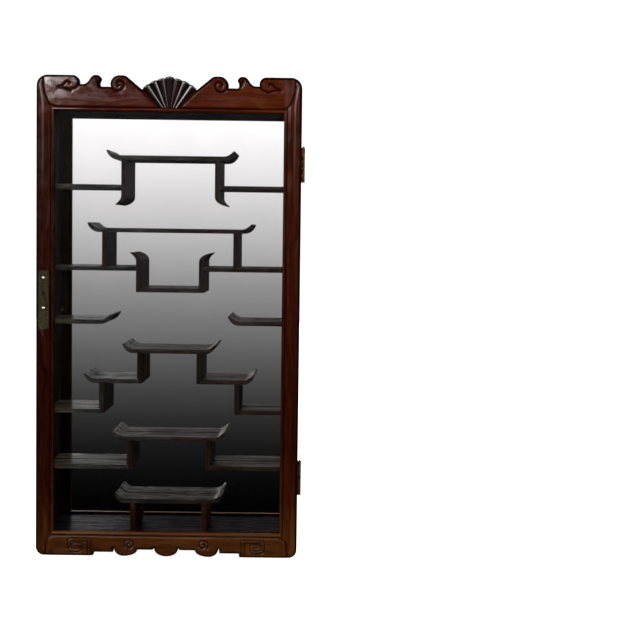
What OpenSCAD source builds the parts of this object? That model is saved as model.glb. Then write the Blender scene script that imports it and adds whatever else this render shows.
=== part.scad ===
// A wall-hung curio case for thimbles and other small treasures: a shallow
// hardwood box with a mirror back, a stepped gallery of thin shelves, and a
// glazed door whose frame carries a carved crest and apron.
// Lengths are millimetres. X runs to the right, Y runs back to the wall and
// Z runs up. Inside the modules heights are measured from the feet, and
// hung() moves each finished piece so that the origin lies midway between
// the two hanging holes, on the plane of the wall.

/* [Door] */
// Width of the door frame over its stiles
door_w = 416; // [410:1:480]
// Height of the door frame from its feet to the top of its crest
door_h = 760; // [750:1:840]
// Thickness of the door frame
door_t = 16; // [15:0.5:20]
// Width of a stile seen from the front
stile_w = 28; // [26:0.5:32]
// Height of the bottom rail with its apron
apron_h = 38.5; // [36:0.5:46]
// Height of the top rail with its crest
crest_h = 55.5; // [52:0.5:64]
// Gap between the shut door and the carcass
door_gap = 1.2; // [0.8:0.1:2]
// Width of the bead worked along the opening
bead_w = 5; // [4:0.5:5.5]
// Depth of a rail's face below the foremost line of the frame
rail_drop = 1; // [0.6:0.1:1.4]
// Length of a rail's tenon in its stile
tenon_l = 18; // [12:1:20]
// Thickness of a rail's tenon
tenon_t = 5; // [4:0.5:6]

/* [Glazing] */
// Thickness of the glass
glass_t = 3; // [2:0.5:4]
// Depth of the glass behind the front of the frame
glass_in = 10; // [9:0.5:10.5]
// Overlap of the frame on the glass
glass_lap = 5; // [4:0.5:6]
// Clearance round the edge of the glass
glass_play = 0.3; // [0.2:0.1:0.6]

/* [Carcass] */
// Depth of the carcass from the wall to its front edges
carcass_d = 82.8; // [75:0.1:110]
// Thickness of the carcass sides
side_t = 12; // [11:0.5:14]
// How far the door laps past each carcass side
side_inset = 1; // [0.5:0.1:2]
// Thickness of the top board
top_t = 12; // [10:0.5:14]
// Thickness of the floor board
floor_t = 12; // [10:0.5:14]
// How far the floor lies below the door's opening
floor_lip = 3; // [1:0.5:4]
// How far the ceiling lies above the door's opening
ceil_lip = 0.5; // [0:0.5:3]
// How far the sides run past the top and floor boards
side_over = 4; // [2:0.5:8]
// Depth of the housings that hold the top and floor boards
board_housing = 4; // [3:0.5:5]
// Thickness of the back panel
back_t = 6; // [5:0.5:8]
// Overlap of the back panel on the carcass boards
back_lap = 8; // [7:0.5:9]
// Thickness of the mirror
mirror_t = 3; // [2:0.5:4]
// Overlap of the mirror on the carcass boards
mirror_lap = 4; // [3.5:0.5:5]

/* [Gallery] */
// Thickness of the shelves
shelf_t = 7; // [6:0.5:8]
// Thickness of the posts between the shelves
post_t = 8; // [7:0.5:9]
// Distance of the shelves behind the carcass front
shelf_in = 16; // [12:0.5:18]
// Depth of the housings in the sides that hold the side shelves
shelf_housing = 3; // [2:0.5:3.5]
// Length of the tongues between posts and shelves
tongue = 2; // [1.5:0.5:3]
// Length of the curled end of a shelf
curl_l = 15; // [12:0.5:18]
// Rise of the curled end of a shelf
curl_rise = 8; // [6:0.5:9]
// Thickness of the curled end of a shelf at its lip
lip_t = 3.6; // [2.5:0.1:4.5]
// Length of the curled end of a post
post_curl_l = 13; // [10:0.5:16]
// Reach of the curled end of a post past its outer face
post_curl_out = 9; // [7:0.5:10]
// Thickness of the curled end of a post at its lip
post_lip_t = 1.6; // [1.2:0.1:3]

/* [First tier, an arch] */
// Height of the arch shelf in the opening, as a share of its height
arch_up = 0.8994; // [0.889:0.0001:0.918]
// Half length of the arch shelf to its lips
arch_reach = 102; // [100:0.5:115]
// Outer face of the arch posts from the centre
arch_post = 78.5; // [74:0.5:80]
// Height of the curled feet of the arch posts in the opening, as a share of its height
arch_foot_up = 0.7815; // [0.769:0.0001:0.783]
// Height of the side shelves beside the arch in the opening, as a share of its height
arch_side_up = 0.8295; // [0.823:0.0001:0.843]

/* [Second tier, a bridge over a cup] */
// Height of the bridge shelf in the opening, as a share of its height
bridge_up = 0.7261; // [0.708:0.0001:0.737]
// Half length of the bridge shelf to its lips
bridge_reach = 131.5; // [130:0.5:145]
// Outer face of the bridge posts from the centre
bridge_post = 108.7; // [100:0.1:112]
// Height of the side shelves under the bridge in the opening, as a share of its height
bridge_side_up = 0.6341; // [0.618:0.0001:0.635]
// Outer face of the cup posts from the centre
cup_post = 54.2; // [50:0.1:60]
// Height of the curled tops of the cup posts in the opening, as a share of its height
cup_top_up = 0.6679; // [0.657:0.0001:0.677]
// Height of the cup floor in the opening, as a share of its height
cup_up = 0.5833; // [0.566:0.0001:0.584]

/* [Third tier, two end shelves] */
// Height of the end shelves in the opening, as a share of its height
end_up = 0.5055; // [0.491:0.0001:0.527]
// Distance of the lips of the end shelves from the centre
end_reach = 93.5; // [80:0.5:110]

/* [Fourth tier, a stair] */
// Height of the stair's top shelf in the opening, as a share of its height
stair_up = 0.4363; // [0.423:0.0001:0.445]
// Half length of the stair's top shelf to its lips
stair_reach = 75; // [72:0.5:85]
// Outer face of the stair's upper posts from the centre
stair_post = 51.6; // [46:0.1:54]
// Height of the stair's middle shelves in the opening, as a share of its height
step_up = 0.3634; // [0.348:0.0001:0.37]
// Distance of the lips of the middle shelves from the centre
step_reach = 136.5; // [132:0.5:145]
// Outer face of the stair's lower posts from the centre
step_post = 112.5; // [105:0.1:114]
// Height of the stair's side shelves in the opening, as a share of its height
stair_side_up = 0.2905; // [0.273:0.0001:0.295]

/* [Fifth tier, a low bridge] */
// Height of the low bridge shelf in the opening, as a share of its height
low_up = 0.2243; // [0.213:0.0001:0.234]
// Half length of the low bridge shelf to its lips
low_reach = 91; // [88:0.5:100]
// Outer face of the low bridge posts from the centre
low_post = 67.4; // [60:0.1:69]
// Height of the side shelves under the low bridge in the opening, as a share of its height
low_side_up = 0.1547; // [0.138:0.0001:0.159]

/* [Sixth tier, a table] */
// Height of the table shelf in the opening, as a share of its height
table_up = 0.0723; // [0.063:0.0001:0.084]
// Half length of the table shelf to its lips
table_reach = 86.5; // [84:0.5:100]
// Outer face of the table legs from the centre
table_leg = 61.3; // [55:0.1:66]

/* [Crest] */
// Radius of the frame's top corners
corner_r = 17; // [14:0.5:18]
// Width of the square shoulder at each top corner
shoulder_w = 67.1; // [62:0.1:72]
// Radius of the shoulder's rolled end
shoulder_r = 11; // [10.5:0.1:12.5]
// Depth of the dips beside the shoulders
dip_drop = 14; // [12:0.5:15]
// Distance of the wave crests from the centre
wave_x = 117; // [115:0.5:119]
// Depth of the flats between the waves and the scrolls
flat_drop = 17.5; // [16:0.5:19]
// Distance of the scrolls from the centre
scroll_x = 78.4; // [76:0.1:80]
// Radius of the scrolls
scroll_r = 14; // [13:0.5:14.5]
// Depth of the shell's seat below the top of the crest
seat_drop = 21; // [20:0.5:24]

/* [Shell] */
// Radius of the shell over the ends of its ribs
shell_r = 62; // [58:0.5:63]
// How far the middle rib reaches past the others
middle_rise = 1.8; // [1:0.1:3]
// Depth of the point where the ribs would meet, below the edge of the opening
eye_drop = 8.5; // [7:0.5:9]
// Number of whole ribs in the shell
shell_ribs = 7; // [5:2:7]
// Angle between two ribs
rib_step = 12.5; // [12:0.1:12.8]
// Half width of a rib near its outer end
rib_w = 6.9; // [6.6:0.1:7.4]
// Height of a rib near its outer end
rib_h = 6.2; // [5.5:0.1:6.3]
// Length over which a rib rounds off at its outer end
rib_end = 2.6; // [2:0.1:4]
// Thickness of the shell behind its ribs
ground_t = 1.8; // [1.5:0.1:2.5]

/* [Apron] */
// Radius of the frame's bottom corners
foot_r = 13; // [10:0.5:15]
// Width of each foot of the frame
foot_w = 92; // [88:0.5:96]
// Rise of the apron beside the feet
step_rise = 6; // [5:0.5:8]
// Rise of the apron beside its middle lobe
arch_rise = 10.3; // [9:0.1:12]
// Half width of the middle lobe
mid_lobe = 19; // [16:0.5:22]
// Distance of the lowest point of a side lobe from the centre
side_lobe_x = 68; // [66:0.5:70]
// Reach of a side lobe towards the centre
side_lobe_in = 22; // [18:0.5:24]
// Reach of a side lobe towards the foot
side_lobe_out = 15; // [13:0.5:16]
// Rise of the small cusps that end the lobes
cusp_rise = 13.6; // [12.5:0.1:15]

/* [Hinges] */
// Height of the upper hinge's middle
hinge_up_z = 624.5; // [600:0.5:640]
// Height of the lower hinge's middle
hinge_low_z = 127; // [100:0.5:160]
// Length of a hinge
hinge_l = 54.5; // [50:0.5:65]
// Radius of the hinge barrel
barrel_r = 2.6; // [2.4:0.1:3]
// Radius of the hinge pin
pin_r = 1.2; // [1:0.1:1.4]
// Running clearance of the pin in the barrel
pin_play = 0.05; // [0.02:0.01:0.08]
// Thickness of a hinge leaf
leaf_t = 1.4; // [1:0.1:1.6]
// Width of a hinge leaf from the side of the door
leaf_w = 11; // [10:0.5:11.5]
// Number of knuckles in a hinge
knuckles = 5; // [3:2:5]

/* [Lock] */
// Height of the lock plate's middle
plate_z = 407.4; // [404:0.1:409]
// Distance of the lock plate's middle from the side of the door
plate_in = 12.4; // [12:0.1:13]
// Width of the lock plate
plate_w = 16; // [14:0.5:18]
// Height of the lock plate
plate_l = 91.6; // [88:0.2:98]
// Thickness of the lock plate
plate_t = 1.2; // [1:0.1:1.4]
// Height of the keyhole above the plate's middle
keyhole_up = 10.7; // [10:0.1:12]
// Radius of the round part of the keyhole
keyhole_r = 2; // [1.6:0.1:2.2]
// Distance of the upper plate screw above the plate's middle
plate_screw_up = 34.3; // [33:0.1:36]
// Distance of the lower plate screw below the plate's middle
plate_screw_down = 13.2; // [11:0.1:14]
// Travel of the lock bolt
bolt_throw = 7; // [6:0.5:7]

/* [Hanging plates] */
// Distance between the two hanging holes
hang_span = 320; // [300:1:330]
// Height of the hanging holes above the top board
hang_up = 18; // [15:0.5:20]
// Radius of the hanging holes
hang_r = 2.5; // [2:0.1:3]
// Width of a hanging plate
hang_w = 18; // [15:0.5:20]
// Thickness of a hanging plate
hang_t = 2; // [1.5:0.1:2.5]
// Length of a hanging plate below the ceiling's underside
hang_tail = 20; // [18:0.5:30]

/* [Hidden] */

$fn = 48;
// Clearance of a fixed joint and overshoot of a cutting tool
fit = 0.1;
past = 1;
// How full a curl's outer side is, from 0.5, even, to 1, square
curl_swell = 0.75;

// Colours
door_wood = "#5c2419";
case_wood = "#2c1a16";
shelf_wood = "#4a3a33";
brass = "#8a7038";
old_brass = "#4a3e28";
steel = "#8d8f92";

// Planes across the depth of the case
carcass_front = -carcass_d;
door_back = carcass_front - door_gap;
door_front = door_back - door_t;
glass_front = door_front + glass_in;
glass_back = glass_front + glass_t;
mirror_back = -back_t;
mirror_front = mirror_back - mirror_t;
shelf_front = carcass_front + shelf_in;
shelf_back = mirror_front - 4 * fit;

// Lines across the width, measured from the centre
half_w = door_w / 2;
open_x = half_w - stile_w;
carcass_x = half_w - side_inset;
inner_x = carcass_x - side_t;
shelf_end = inner_x + shelf_housing;

// Heights above the feet
open_low = apron_h;
open_high = door_h - crest_h;
function opening_at(share) = open_low + share * (open_high - open_low);
floor_z = open_low - floor_lip;
ceil_z = open_high + ceil_lip;
side_low = floor_z - floor_t - side_over;
side_high = ceil_z + top_t + side_over;
hang_z = ceil_z + top_t + hang_up;

// Heights of the shelves, the arch's curled feet and the cup's curled tops
arch_z = opening_at(arch_up);
arch_foot = opening_at(arch_foot_up);
arch_side_z = opening_at(arch_side_up);
bridge_z = opening_at(bridge_up);
bridge_side_z = opening_at(bridge_side_up);
cup_top = opening_at(cup_top_up);
cup_z = opening_at(cup_up);
end_z = opening_at(end_up);
stair_z = opening_at(stair_up);
step_z = opening_at(step_up);
stair_side_z = opening_at(stair_side_up);
low_z = opening_at(low_up);
low_side_z = opening_at(low_side_up);
table_z = opening_at(table_up);

// Screws: head radius, shank radius and length in wood
screw_head_r = 2.4;
screw_r = 1.2;
screw_l = 9;

// Full length of a curled end, over its slanted lip
function curl_slope(l, rise) = atan(2 * rise / l);
function curl_end(l, rise, lip) = l + lip * sin(curl_slope(l, rise));
shelf_curl = curl_end(curl_l, curl_rise, lip_t);
post_curl = curl_end(post_curl_l, post_curl_out, post_lip_t);

side_shelf_heights = [arch_side_z, bridge_side_z, end_z, stair_side_z, low_side_z];

// ---- shared shapes ----

// Moves a piece from heights above the feet to the hung frame
module hung() {
    translate([0, 0, -hang_z]) children();
}

// A box given by its limits along X, Y and Z
module slab(x, y, z) {
    translate([x[0], y[0], z[0]]) cube([x[1] - x[0], y[1] - y[0], z[1] - z[0]]);
}

// The mirror image on the left of a piece drawn on the right
module to_left() {
    mirror([1, 0, 0]) children();
}

// A piece and its mirror image
module both_sides() {
    children();
    to_left() children();
}

// Extrudes an outline drawn in X and Z between two planes of Y
module front_view(y) {
    translate([0, y[1], 0]) rotate([90, 0, 0]) linear_extrude(y[1] - y[0]) children();
}

// Points along part of an oval
function oval(c, r, from, to, n = 12) =
    [for (i = [0:n]) let (a = from + (to - from) * i / n) [c[0] + r[0] * cos(a), c[1] + r[1] * sin(a)]];

// Points along part of a circle
function arc(c, r, from, to, n = 12) = oval(c, [r, r], from, to, n);

// Points along a curve that leaves a towards b and comes to c
function bend(a, b, c, n = 8) =
    [for (i = [0:n]) let (t = i / n) (1 - t) * (1 - t) * a + 2 * t * (1 - t) * b + t * t * c];

// An outline given by its right half from top centre to bottom centre
function mirrored(half) =
    concat(half, [for (i = [len(half) - 1:-1:0]) [-half[i][0], half[i][1]]]);

// A countersunk screw or its hole, its head at the origin and its point along +Y
module flat_screw(grow = 0, length = screw_l) {
    rotate([-90, 0, 0]) {
        cylinder(r = screw_r + grow, h = length + grow);
        cylinder(r1 = screw_head_r + grow, r2 = screw_r + grow, h = screw_head_r - screw_r);
    }
}

// ---- carcass ----

// The spaces that the mirror and the back panel take out of the boards
module back_spaces() {
    slab([-inner_x - mirror_lap - fit, inner_x + mirror_lap + fit], [mirror_front, past],
        [floor_z - mirror_lap - fit, ceil_z + mirror_lap + fit]);
    slab([-inner_x - back_lap - fit, inner_x + back_lap + fit], [mirror_back, past],
        [floor_z - back_lap - fit, ceil_z + back_lap + fit]);
}

// The top or floor board, with its underside at z
module level_board(z, t, grow = 0) {
    slab([-inner_x - board_housing - grow, inner_x + board_housing + grow],
        [carcass_front - past * sign(grow), past * sign(grow)], [z - grow, z + t + grow]);
}

// A carcass side drawn on the right, housed for the boards and shelves
module side_board() {
    difference() {
        slab([inner_x, carcass_x], [carcass_front, 0], [side_low, side_high]);
        level_board(ceil_z, top_t, fit);
        level_board(floor_z - floor_t, floor_t, fit);
        for (z = side_shelf_heights)
            slab([inner_x - past, shelf_end + fit], [shelf_front - fit, past], [z - shelf_t - fit, z + fit]);
        back_spaces();
    }
}

module side_left() {
    color(case_wood) hung() difference() {
        to_left() side_board();
        keeper_plate(fit);
        keeper_screws(fit);
        pins(fit);
    }
}

module side_right() {
    color(case_wood) hung() difference() {
        side_board();
        both_hinges() leaf_seat(carcass_front, 1);
        hinge_screws_at(carcass_front, 1, fit);
        pins(fit);
    }
}

module top_board() {
    color(case_wood) hung() difference() {
        level_board(ceil_z, top_t);
        back_spaces();
        hanging_blanks(fit);
        hang_screws(fit);
        pins(fit);
    }
}

module floor_board() {
    color(case_wood) hung() difference() {
        level_board(floor_z - floor_t, floor_t);
        back_spaces();
        both_sides() board() leg_outline(fit);
        pins(fit);
    }
}

module back_panel() {
    color(case_wood) hung() difference() {
        slab([-inner_x - back_lap, inner_x + back_lap], [mirror_back, 0],
            [floor_z - back_lap, ceil_z + back_lap]);
        hanging_blanks(fit);
        hang_screws(fit);
        pins(fit);
    }
}

module mirror_plate() {
    color("lightsteelblue") hung()
        slab([-inner_x - mirror_lap, inner_x + mirror_lap], [mirror_front, mirror_back],
            [floor_z - mirror_lap, ceil_z + mirror_lap]);
}

// Panel pins, driven from behind into the shoulder outside the mirror
pin_head_r = 1.6;
pin_head_t = 0.8;
pin_shank_r = 0.7;
pin_l = 14;
pin_in = (mirror_lap + back_lap) / 2;
pins_up_side = 5;
pins_across = 4;
// The outer pins of the level rows stand just inside the hanging plates
pin_gap = 4.75;
pin_reach = (hang_span - hang_w) / 2 - pin_gap;

module pin_at(x, z, grow) {
    translate([x, 0, z]) rotate([90, 0, 0]) {
        translate([0, 0, fit]) cylinder(r = pin_shank_r + grow, h = pin_l + grow);
        translate([0, 0, fit - past * sign(grow)])
            cylinder(r = pin_head_r + grow, h = pin_head_t + past * sign(grow));
    }
}

module pins(grow = 0) {
    for (i = [0:pins_up_side - 1])
        let (z = floor_z + (ceil_z - floor_z) * (i + 0.5) / pins_up_side)
            for (x = [-inner_x - pin_in, inner_x + pin_in]) pin_at(x, z, grow);
    for (i = [0:pins_across - 1])
        let (x = pin_reach * (2 * i / (pins_across - 1) - 1))
            for (z = [floor_z - pin_in, ceil_z + pin_in]) pin_at(x, z, grow);
}

module panel_pins() {
    color(steel) hung() pins();
}

// Hanging plates, let in flush behind and hidden by the crest's shoulders
module hanging_blank(grow) {
    front_view([-hang_t - grow, past * sign(grow)]) {
        translate([hang_span / 2, hang_z]) circle(r = hang_w / 2 + grow);
        translate([hang_span / 2 - hang_w / 2 - grow, ceil_z - hang_tail - grow])
            square([hang_w + 2 * grow, hang_z - ceil_z + hang_tail + grow]);
    }
}

module hanging_blanks(grow = 0) {
    both_sides() hanging_blank(grow);
}

// One screw reaches the top board through the panel, one holds in the panel
long_screw_l = 14;
short_screw_l = 5;

module hang_screws(grow = 0) {
    both_sides() {
        translate([hang_span / 2, 0, ceil_z + pin_in]) rotate([0, 0, 180])
            flat_screw(grow, long_screw_l);
        translate([hang_span / 2, 0, ceil_z - hang_tail / 2]) rotate([0, 0, 180])
            flat_screw(grow, short_screw_l);
    }
}

module hanging_plates() {
    color(brass) hung() difference() {
        hanging_blanks();
        both_sides() translate([hang_span / 2, past, hang_z]) rotate([90, 0, 0])
            cylinder(r = hang_r, h = hang_t + 2 * past);
        hang_screws(fit / 2);
    }
}

module hanging_screws() {
    color(brass) hung() hang_screws();
}

// ---- gallery: outlines in X and Z, extruded to the depth of the shelves ----

module board() {
    front_view([shelf_front, shelf_back]) children();
}

// A straight shelf or post, or the housing for one
module bar(x, z, grow = 0) {
    translate([x[0] - grow, z[0] - grow]) square([x[1] - x[0] + 2 * grow, z[1] - z[0] + 2 * grow]);
}

// Points round a curled end of thickness t, from its top, at the origin, to its
// underside: it leaves along +X and turns up
function curl_points(t, l, rise, lip) =
    let (slope = curl_slope(l, rise), across = [sin(slope), -cos(slope)], tip = [l, rise])
    let (round_lip = arc(tip + lip / 2 * across, lip / 2, 90 + slope, slope - 90, 6))
    concat(
        bend([0, 0], [l / 2, 0], tip),
        [for (i = [1:len(round_lip) - 2]) round_lip[i]],
        bend(tip + lip * across, [curl_swell * l, -t], [0, -t]));

shelf_curl_points = curl_points(shelf_t, curl_l, curl_rise, lip_t);
post_curl_points = curl_points(post_t, post_curl_l, post_curl_out, post_lip_t);

// A shelf that curls up at both ends, with its top at z
module curled_shelf(reach, z) {
    polygon(mirrored([for (p = shelf_curl_points) [reach - shelf_curl + p[0], z + p[1]]]));
}

// A shelf with its top at z, curled up at its lip, x[0], and plain at x[1]
module half_curled_shelf(x, z) {
    away = sign(x[1] - x[0]);
    polygon(concat(
        [for (p = shelf_curl_points) [x[0] + away * (shelf_curl - p[0]), z + p[1]]],
        [[x[1], z - shelf_t], [x[1], z]]));
}

// A post whose outer face is at x, curled outwards at z[0] and plain at z[1]
module curled_post(x, z) {
    away = sign(z[1] - z[0]);
    polygon(concat(
        [for (p = post_curl_points) [x + p[1], z[0] + away * (post_curl - p[0])]],
        [[x - post_t, z[1]], [x, z[1]]]));
}

// A shelf from x to the wall of the case, its inner end plain
module wall_shelf(x, z, grow = 0) {
    bar([x, shelf_end], [z - shelf_t, z], grow);
}

// A post whose outer face is at x
module post(x, z, grow = 0) {
    bar([x - post_t, x], z, grow);
}

// How high a post reaches into the shelf above it, whose top is at z
function post_top(z) = z - shelf_t + tongue;

// The housing under the shelf at z for a post whose outer face is at x
module post_seat(x, z) {
    post(x, [z - shelf_t - past, post_top(z)], fit);
}

module bridge_post_outline(grow = 0) {
    post(bridge_post, [bridge_side_z - tongue, post_top(bridge_z)], grow);
}

module cup_floor_outline(grow = 0) {
    bar([post_t - cup_post - tongue, cup_post - post_t + tongue], [cup_z - shelf_t, cup_z], grow);
}

module leg_outline(grow = 0) {
    post(table_leg, [floor_z - tongue, post_top(table_z)], grow);
}

// Cuts a right-hand outline, and its mirror image, out of a shelf
module housed_shelf() {
    board() difference() {
        children(0);
        both_sides() children(1);
    }
}

module arch_shelf() {
    color(shelf_wood) hung() housed_shelf() {
        curled_shelf(arch_reach, arch_z);
        post_seat(arch_post, arch_z);
    }
}

module arch_post_right_solid() {
    board() difference() {
        curled_post(arch_post, [arch_foot, post_top(arch_z)]);
        wall_shelf(arch_post - tongue, arch_side_z, fit);
    }
}

module arch_post_left() {
    color(shelf_wood) hung() to_left() arch_post_right_solid();
}

module arch_post_right() {
    color(shelf_wood) hung() arch_post_right_solid();
}

module arch_side_shelf_left() {
    color(shelf_wood) hung() to_left() board() wall_shelf(arch_post - tongue, arch_side_z);
}

module arch_side_shelf_right() {
    color(shelf_wood) hung() board() wall_shelf(arch_post - tongue, arch_side_z);
}

module bridge_shelf() {
    color(shelf_wood) hung() housed_shelf() {
        curled_shelf(bridge_reach, bridge_z);
        post_seat(bridge_post, bridge_z);
    }
}

module bridge_post_left() {
    color(shelf_wood) hung() to_left() board() bridge_post_outline();
}

module bridge_post_right() {
    color(shelf_wood) hung() board() bridge_post_outline();
}

module bridge_side_shelf_solid() {
    board() difference() {
        wall_shelf(cup_post - tongue, bridge_side_z);
        bridge_post_outline(fit);
    }
}

module bridge_side_shelf_left() {
    color(shelf_wood) hung() to_left() bridge_side_shelf_solid();
}

module bridge_side_shelf_right() {
    color(shelf_wood) hung() bridge_side_shelf_solid();
}

module cup_floor() {
    color(shelf_wood) hung() board() cup_floor_outline();
}

module cup_post_solid() {
    board() difference() {
        curled_post(cup_post, [cup_top, cup_z - shelf_t]);
        cup_floor_outline(fit);
        wall_shelf(cup_post - tongue, bridge_side_z, fit);
    }
}

module cup_post_left() {
    color(shelf_wood) hung() to_left() cup_post_solid();
}

module cup_post_right() {
    color(shelf_wood) hung() cup_post_solid();
}

module end_shelf_solid() {
    board() half_curled_shelf([end_reach, shelf_end], end_z);
}

module end_shelf_left() {
    color(shelf_wood) hung() to_left() end_shelf_solid();
}

module end_shelf_right() {
    color(shelf_wood) hung() end_shelf_solid();
}

module stair_shelf() {
    color(shelf_wood) hung() housed_shelf() {
        curled_shelf(stair_reach, stair_z);
        post_seat(stair_post, stair_z);
    }
}

module stair_post_solid() {
    board() difference() {
        post(stair_post, [step_z - shelf_t, post_top(stair_z)]);
        wall_shelf(stair_post - tongue, step_z, fit);
    }
}

module stair_post_left() {
    color(shelf_wood) hung() to_left() stair_post_solid();
}

module stair_post_right() {
    color(shelf_wood) hung() stair_post_solid();
}

module step_shelf_solid() {
    board() difference() {
        half_curled_shelf([step_reach, stair_post - tongue], step_z);
        post_seat(step_post, step_z);
    }
}

module step_shelf_left() {
    color(shelf_wood) hung() to_left() step_shelf_solid();
}

module step_shelf_right() {
    color(shelf_wood) hung() step_shelf_solid();
}

module step_post_solid() {
    board() difference() {
        post(step_post, [stair_side_z - shelf_t, post_top(step_z)]);
        wall_shelf(step_post - tongue, stair_side_z, fit);
    }
}

module step_post_left() {
    color(shelf_wood) hung() to_left() step_post_solid();
}

module step_post_right() {
    color(shelf_wood) hung() step_post_solid();
}

module stair_side_shelf_left() {
    color(shelf_wood) hung() to_left() board() wall_shelf(step_post - tongue, stair_side_z);
}

module stair_side_shelf_right() {
    color(shelf_wood) hung() board() wall_shelf(step_post - tongue, stair_side_z);
}

module low_shelf() {
    color(shelf_wood) hung() housed_shelf() {
        curled_shelf(low_reach, low_z);
        post_seat(low_post, low_z);
    }
}

module low_post_solid() {
    board() difference() {
        post(low_post, [low_side_z - shelf_t, post_top(low_z)]);
        wall_shelf(low_post - tongue, low_side_z, fit);
    }
}

module low_post_left() {
    color(shelf_wood) hung() to_left() low_post_solid();
}

module low_post_right() {
    color(shelf_wood) hung() low_post_solid();
}

module low_side_shelf_left() {
    color(shelf_wood) hung() to_left() board() wall_shelf(low_post - tongue, low_side_z);
}

module low_side_shelf_right() {
    color(shelf_wood) hung() board() wall_shelf(low_post - tongue, low_side_z);
}

module table_shelf() {
    color(shelf_wood) hung() housed_shelf() {
        curled_shelf(table_reach, table_z);
        post_seat(table_leg, table_z);
    }
}

module table_leg_left() {
    color(shelf_wood) hung() to_left() board() leg_outline();
}

module table_leg_right() {
    color(shelf_wood) hung() board() leg_outline();
}

// ---- door frame ----

// Half section of a stile: distance from the opening and depth below the front
bead_r = bead_w / 2;
quirk = bead_w + 0.5;
bead_depth = bead_r + 0.9;
ridge = stile_w - 9.5;
ridge_r = 1;
shoulder_x = stile_w - 3.5;
shoulder_depth = 1.4;
shoulder_side = 5;

// The bead along the opening, from the back of the frame to the quirk
function bead_points() =
    concat([[0, door_t]], arc([bead_r, bead_depth], bead_r, 180, 360, 10), [[quirk, bead_depth]]);

// The outer part of a stile: ridge, slope and rounded arris
function arris_points() = concat(
    arc([ridge + ridge_r / 2, ridge_r], ridge_r, 240, 290, 4),
    bend([shoulder_x, shoulder_depth], [stile_w - 0.3, shoulder_depth + 0.8], [stile_w, shoulder_side], 6),
    [[stile_w, door_t]]);

// A stile's section with its bead and its cove, and the plain section of its ends
function stile_section() = concat(
    bead_points(),
    bend([quirk, bead_depth - 0.6], [(quirk + ridge) / 2, bead_depth - 1], [ridge, ridge_r / 4], 8),
    arris_points());
function block_section() = concat([[0, door_t], [0, rail_drop], [ridge - 2, rail_drop]], arris_points());

// A rail's section: the same bead below a flat face of height h
function rail_section(h) = concat(
    bead_points(),
    bend([quirk, bead_depth - 0.6], [quirk + 0.4, rail_drop], [quirk + 3, rail_drop], 4),
    [[h, rail_drop], [h, door_t]]);

// Extrudes a section drawn as distance and depth, upwards, from the opening's right edge
module upright_moulding(z) {
    translate([open_x, door_front, z[0]]) linear_extrude(z[1] - z[0]) children();
}

// Extrudes a section drawn as distance and depth along a rail: dir is 1 above the opening
module level_moulding(z, dir, x) {
    translate([x[0], door_front, z]) mirror([0, 0, dir > 0 ? 0 : 1]) rotate([90, 0, 90])
        linear_extrude(x[1] - x[0]) mirror([1, 0]) rotate(90) children();
}

// The small triangle of bead that a rail mitres into each stile
module mitre_ears(grow = 0) {
    ear = bead_w + grow;
    for (corner = [[open_high, 1], [open_low, -1]])
        translate([open_x - grow, corner[0] - grow * corner[1]]) scale([1, corner[1]])
            polygon([[0, 0], [ear + grow, ear + grow], [0, ear + grow]]);
}

// A stile's front view: rounded at both outer corners
module stile_view() {
    difference() {
        polygon(concat(
            [[open_x, 0], [open_x, door_h]],
            arc([half_w - corner_r, door_h - corner_r], corner_r, 90, 0),
            arc([half_w - foot_r, foot_r], foot_r, 0, -90)));
        mitre_ears(fit);
    }
}

// A rail's tenon and, grown, its mortise in the stile
tenon_y = door_front + (door_t - tenon_t) / 2 + rail_drop;
tenon_shoulder = 5;
low_tenon_z = [foot_r - 4, open_low - glass_lap - tenon_shoulder];
top_tenon_z = [open_high + glass_lap + tenon_shoulder, door_h - corner_r];

module rail_tenon(z, grow = 0) {
    slab([open_x - past, open_x + tenon_l + grow], [tenon_y - grow, tenon_y + tenon_t + grow],
        [z[0] - grow, z[1] + grow]);
}

// The rabbet for the glass, open to the back
module glass_space() {
    slab([-open_x - glass_lap, open_x + glass_lap], [glass_front, door_back + past],
        [open_low - glass_lap, open_high + glass_lap]);
}

// A stile drawn on the right
module stile() {
    difference() {
        intersection() {
            union() {
                upright_moulding([open_low - bead_w, open_high + bead_w]) polygon(stile_section());
                upright_moulding([0, open_low - bead_w]) polygon(block_section());
                upright_moulding([open_high + bead_w, door_h]) polygon(block_section());
            }
            front_view([door_front - past, door_back + past]) stile_view();
        }
        rail_tenon(low_tenon_z, fit);
        rail_tenon(top_tenon_z, fit);
        glass_space();
    }
}

module stile_left() {
    color(door_wood) hung() difference() {
        to_left() stile();
        lock_seat();
    }
}

module stile_right() {
    color(door_wood) hung() difference() {
        stile();
        both_hinges() leaf_seat(door_back, -1);
        hinge_screws_at(door_back, -1, fit);
    }
}

// The crest's upper edge, from behind the shell to its joint with the stile
wave_top = door_h + 0.5;
wave_lip = [wave_x - 10.5, door_h - 6];
wave_hollow = wave_x - 8;
dip_z = door_h - dip_drop;
flat_z = door_h - flat_drop;
seat_z = door_h - seat_drop;
seat_foot_z = open_high + bead_w + 1.2;
eye_z = open_high - eye_drop;
// The fan shows a little of one more rib at each side, and fits its seat
fan_angle = shell_ribs / 2 * rib_step + 1.1;
seat_angle = fan_angle + 0.2;
seat_x = (seat_z - eye_z) * tan(seat_angle);
seat_foot_x = (seat_foot_z - eye_z) * tan(seat_angle);
scroll_c = [scroll_x, door_h + 0.5 - scroll_r];
scroll_end = asin((scroll_c[1] - flat_z) / scroll_r);
shoulder_c = [half_w - shoulder_w + shoulder_r, door_h - shoulder_r];

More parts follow.
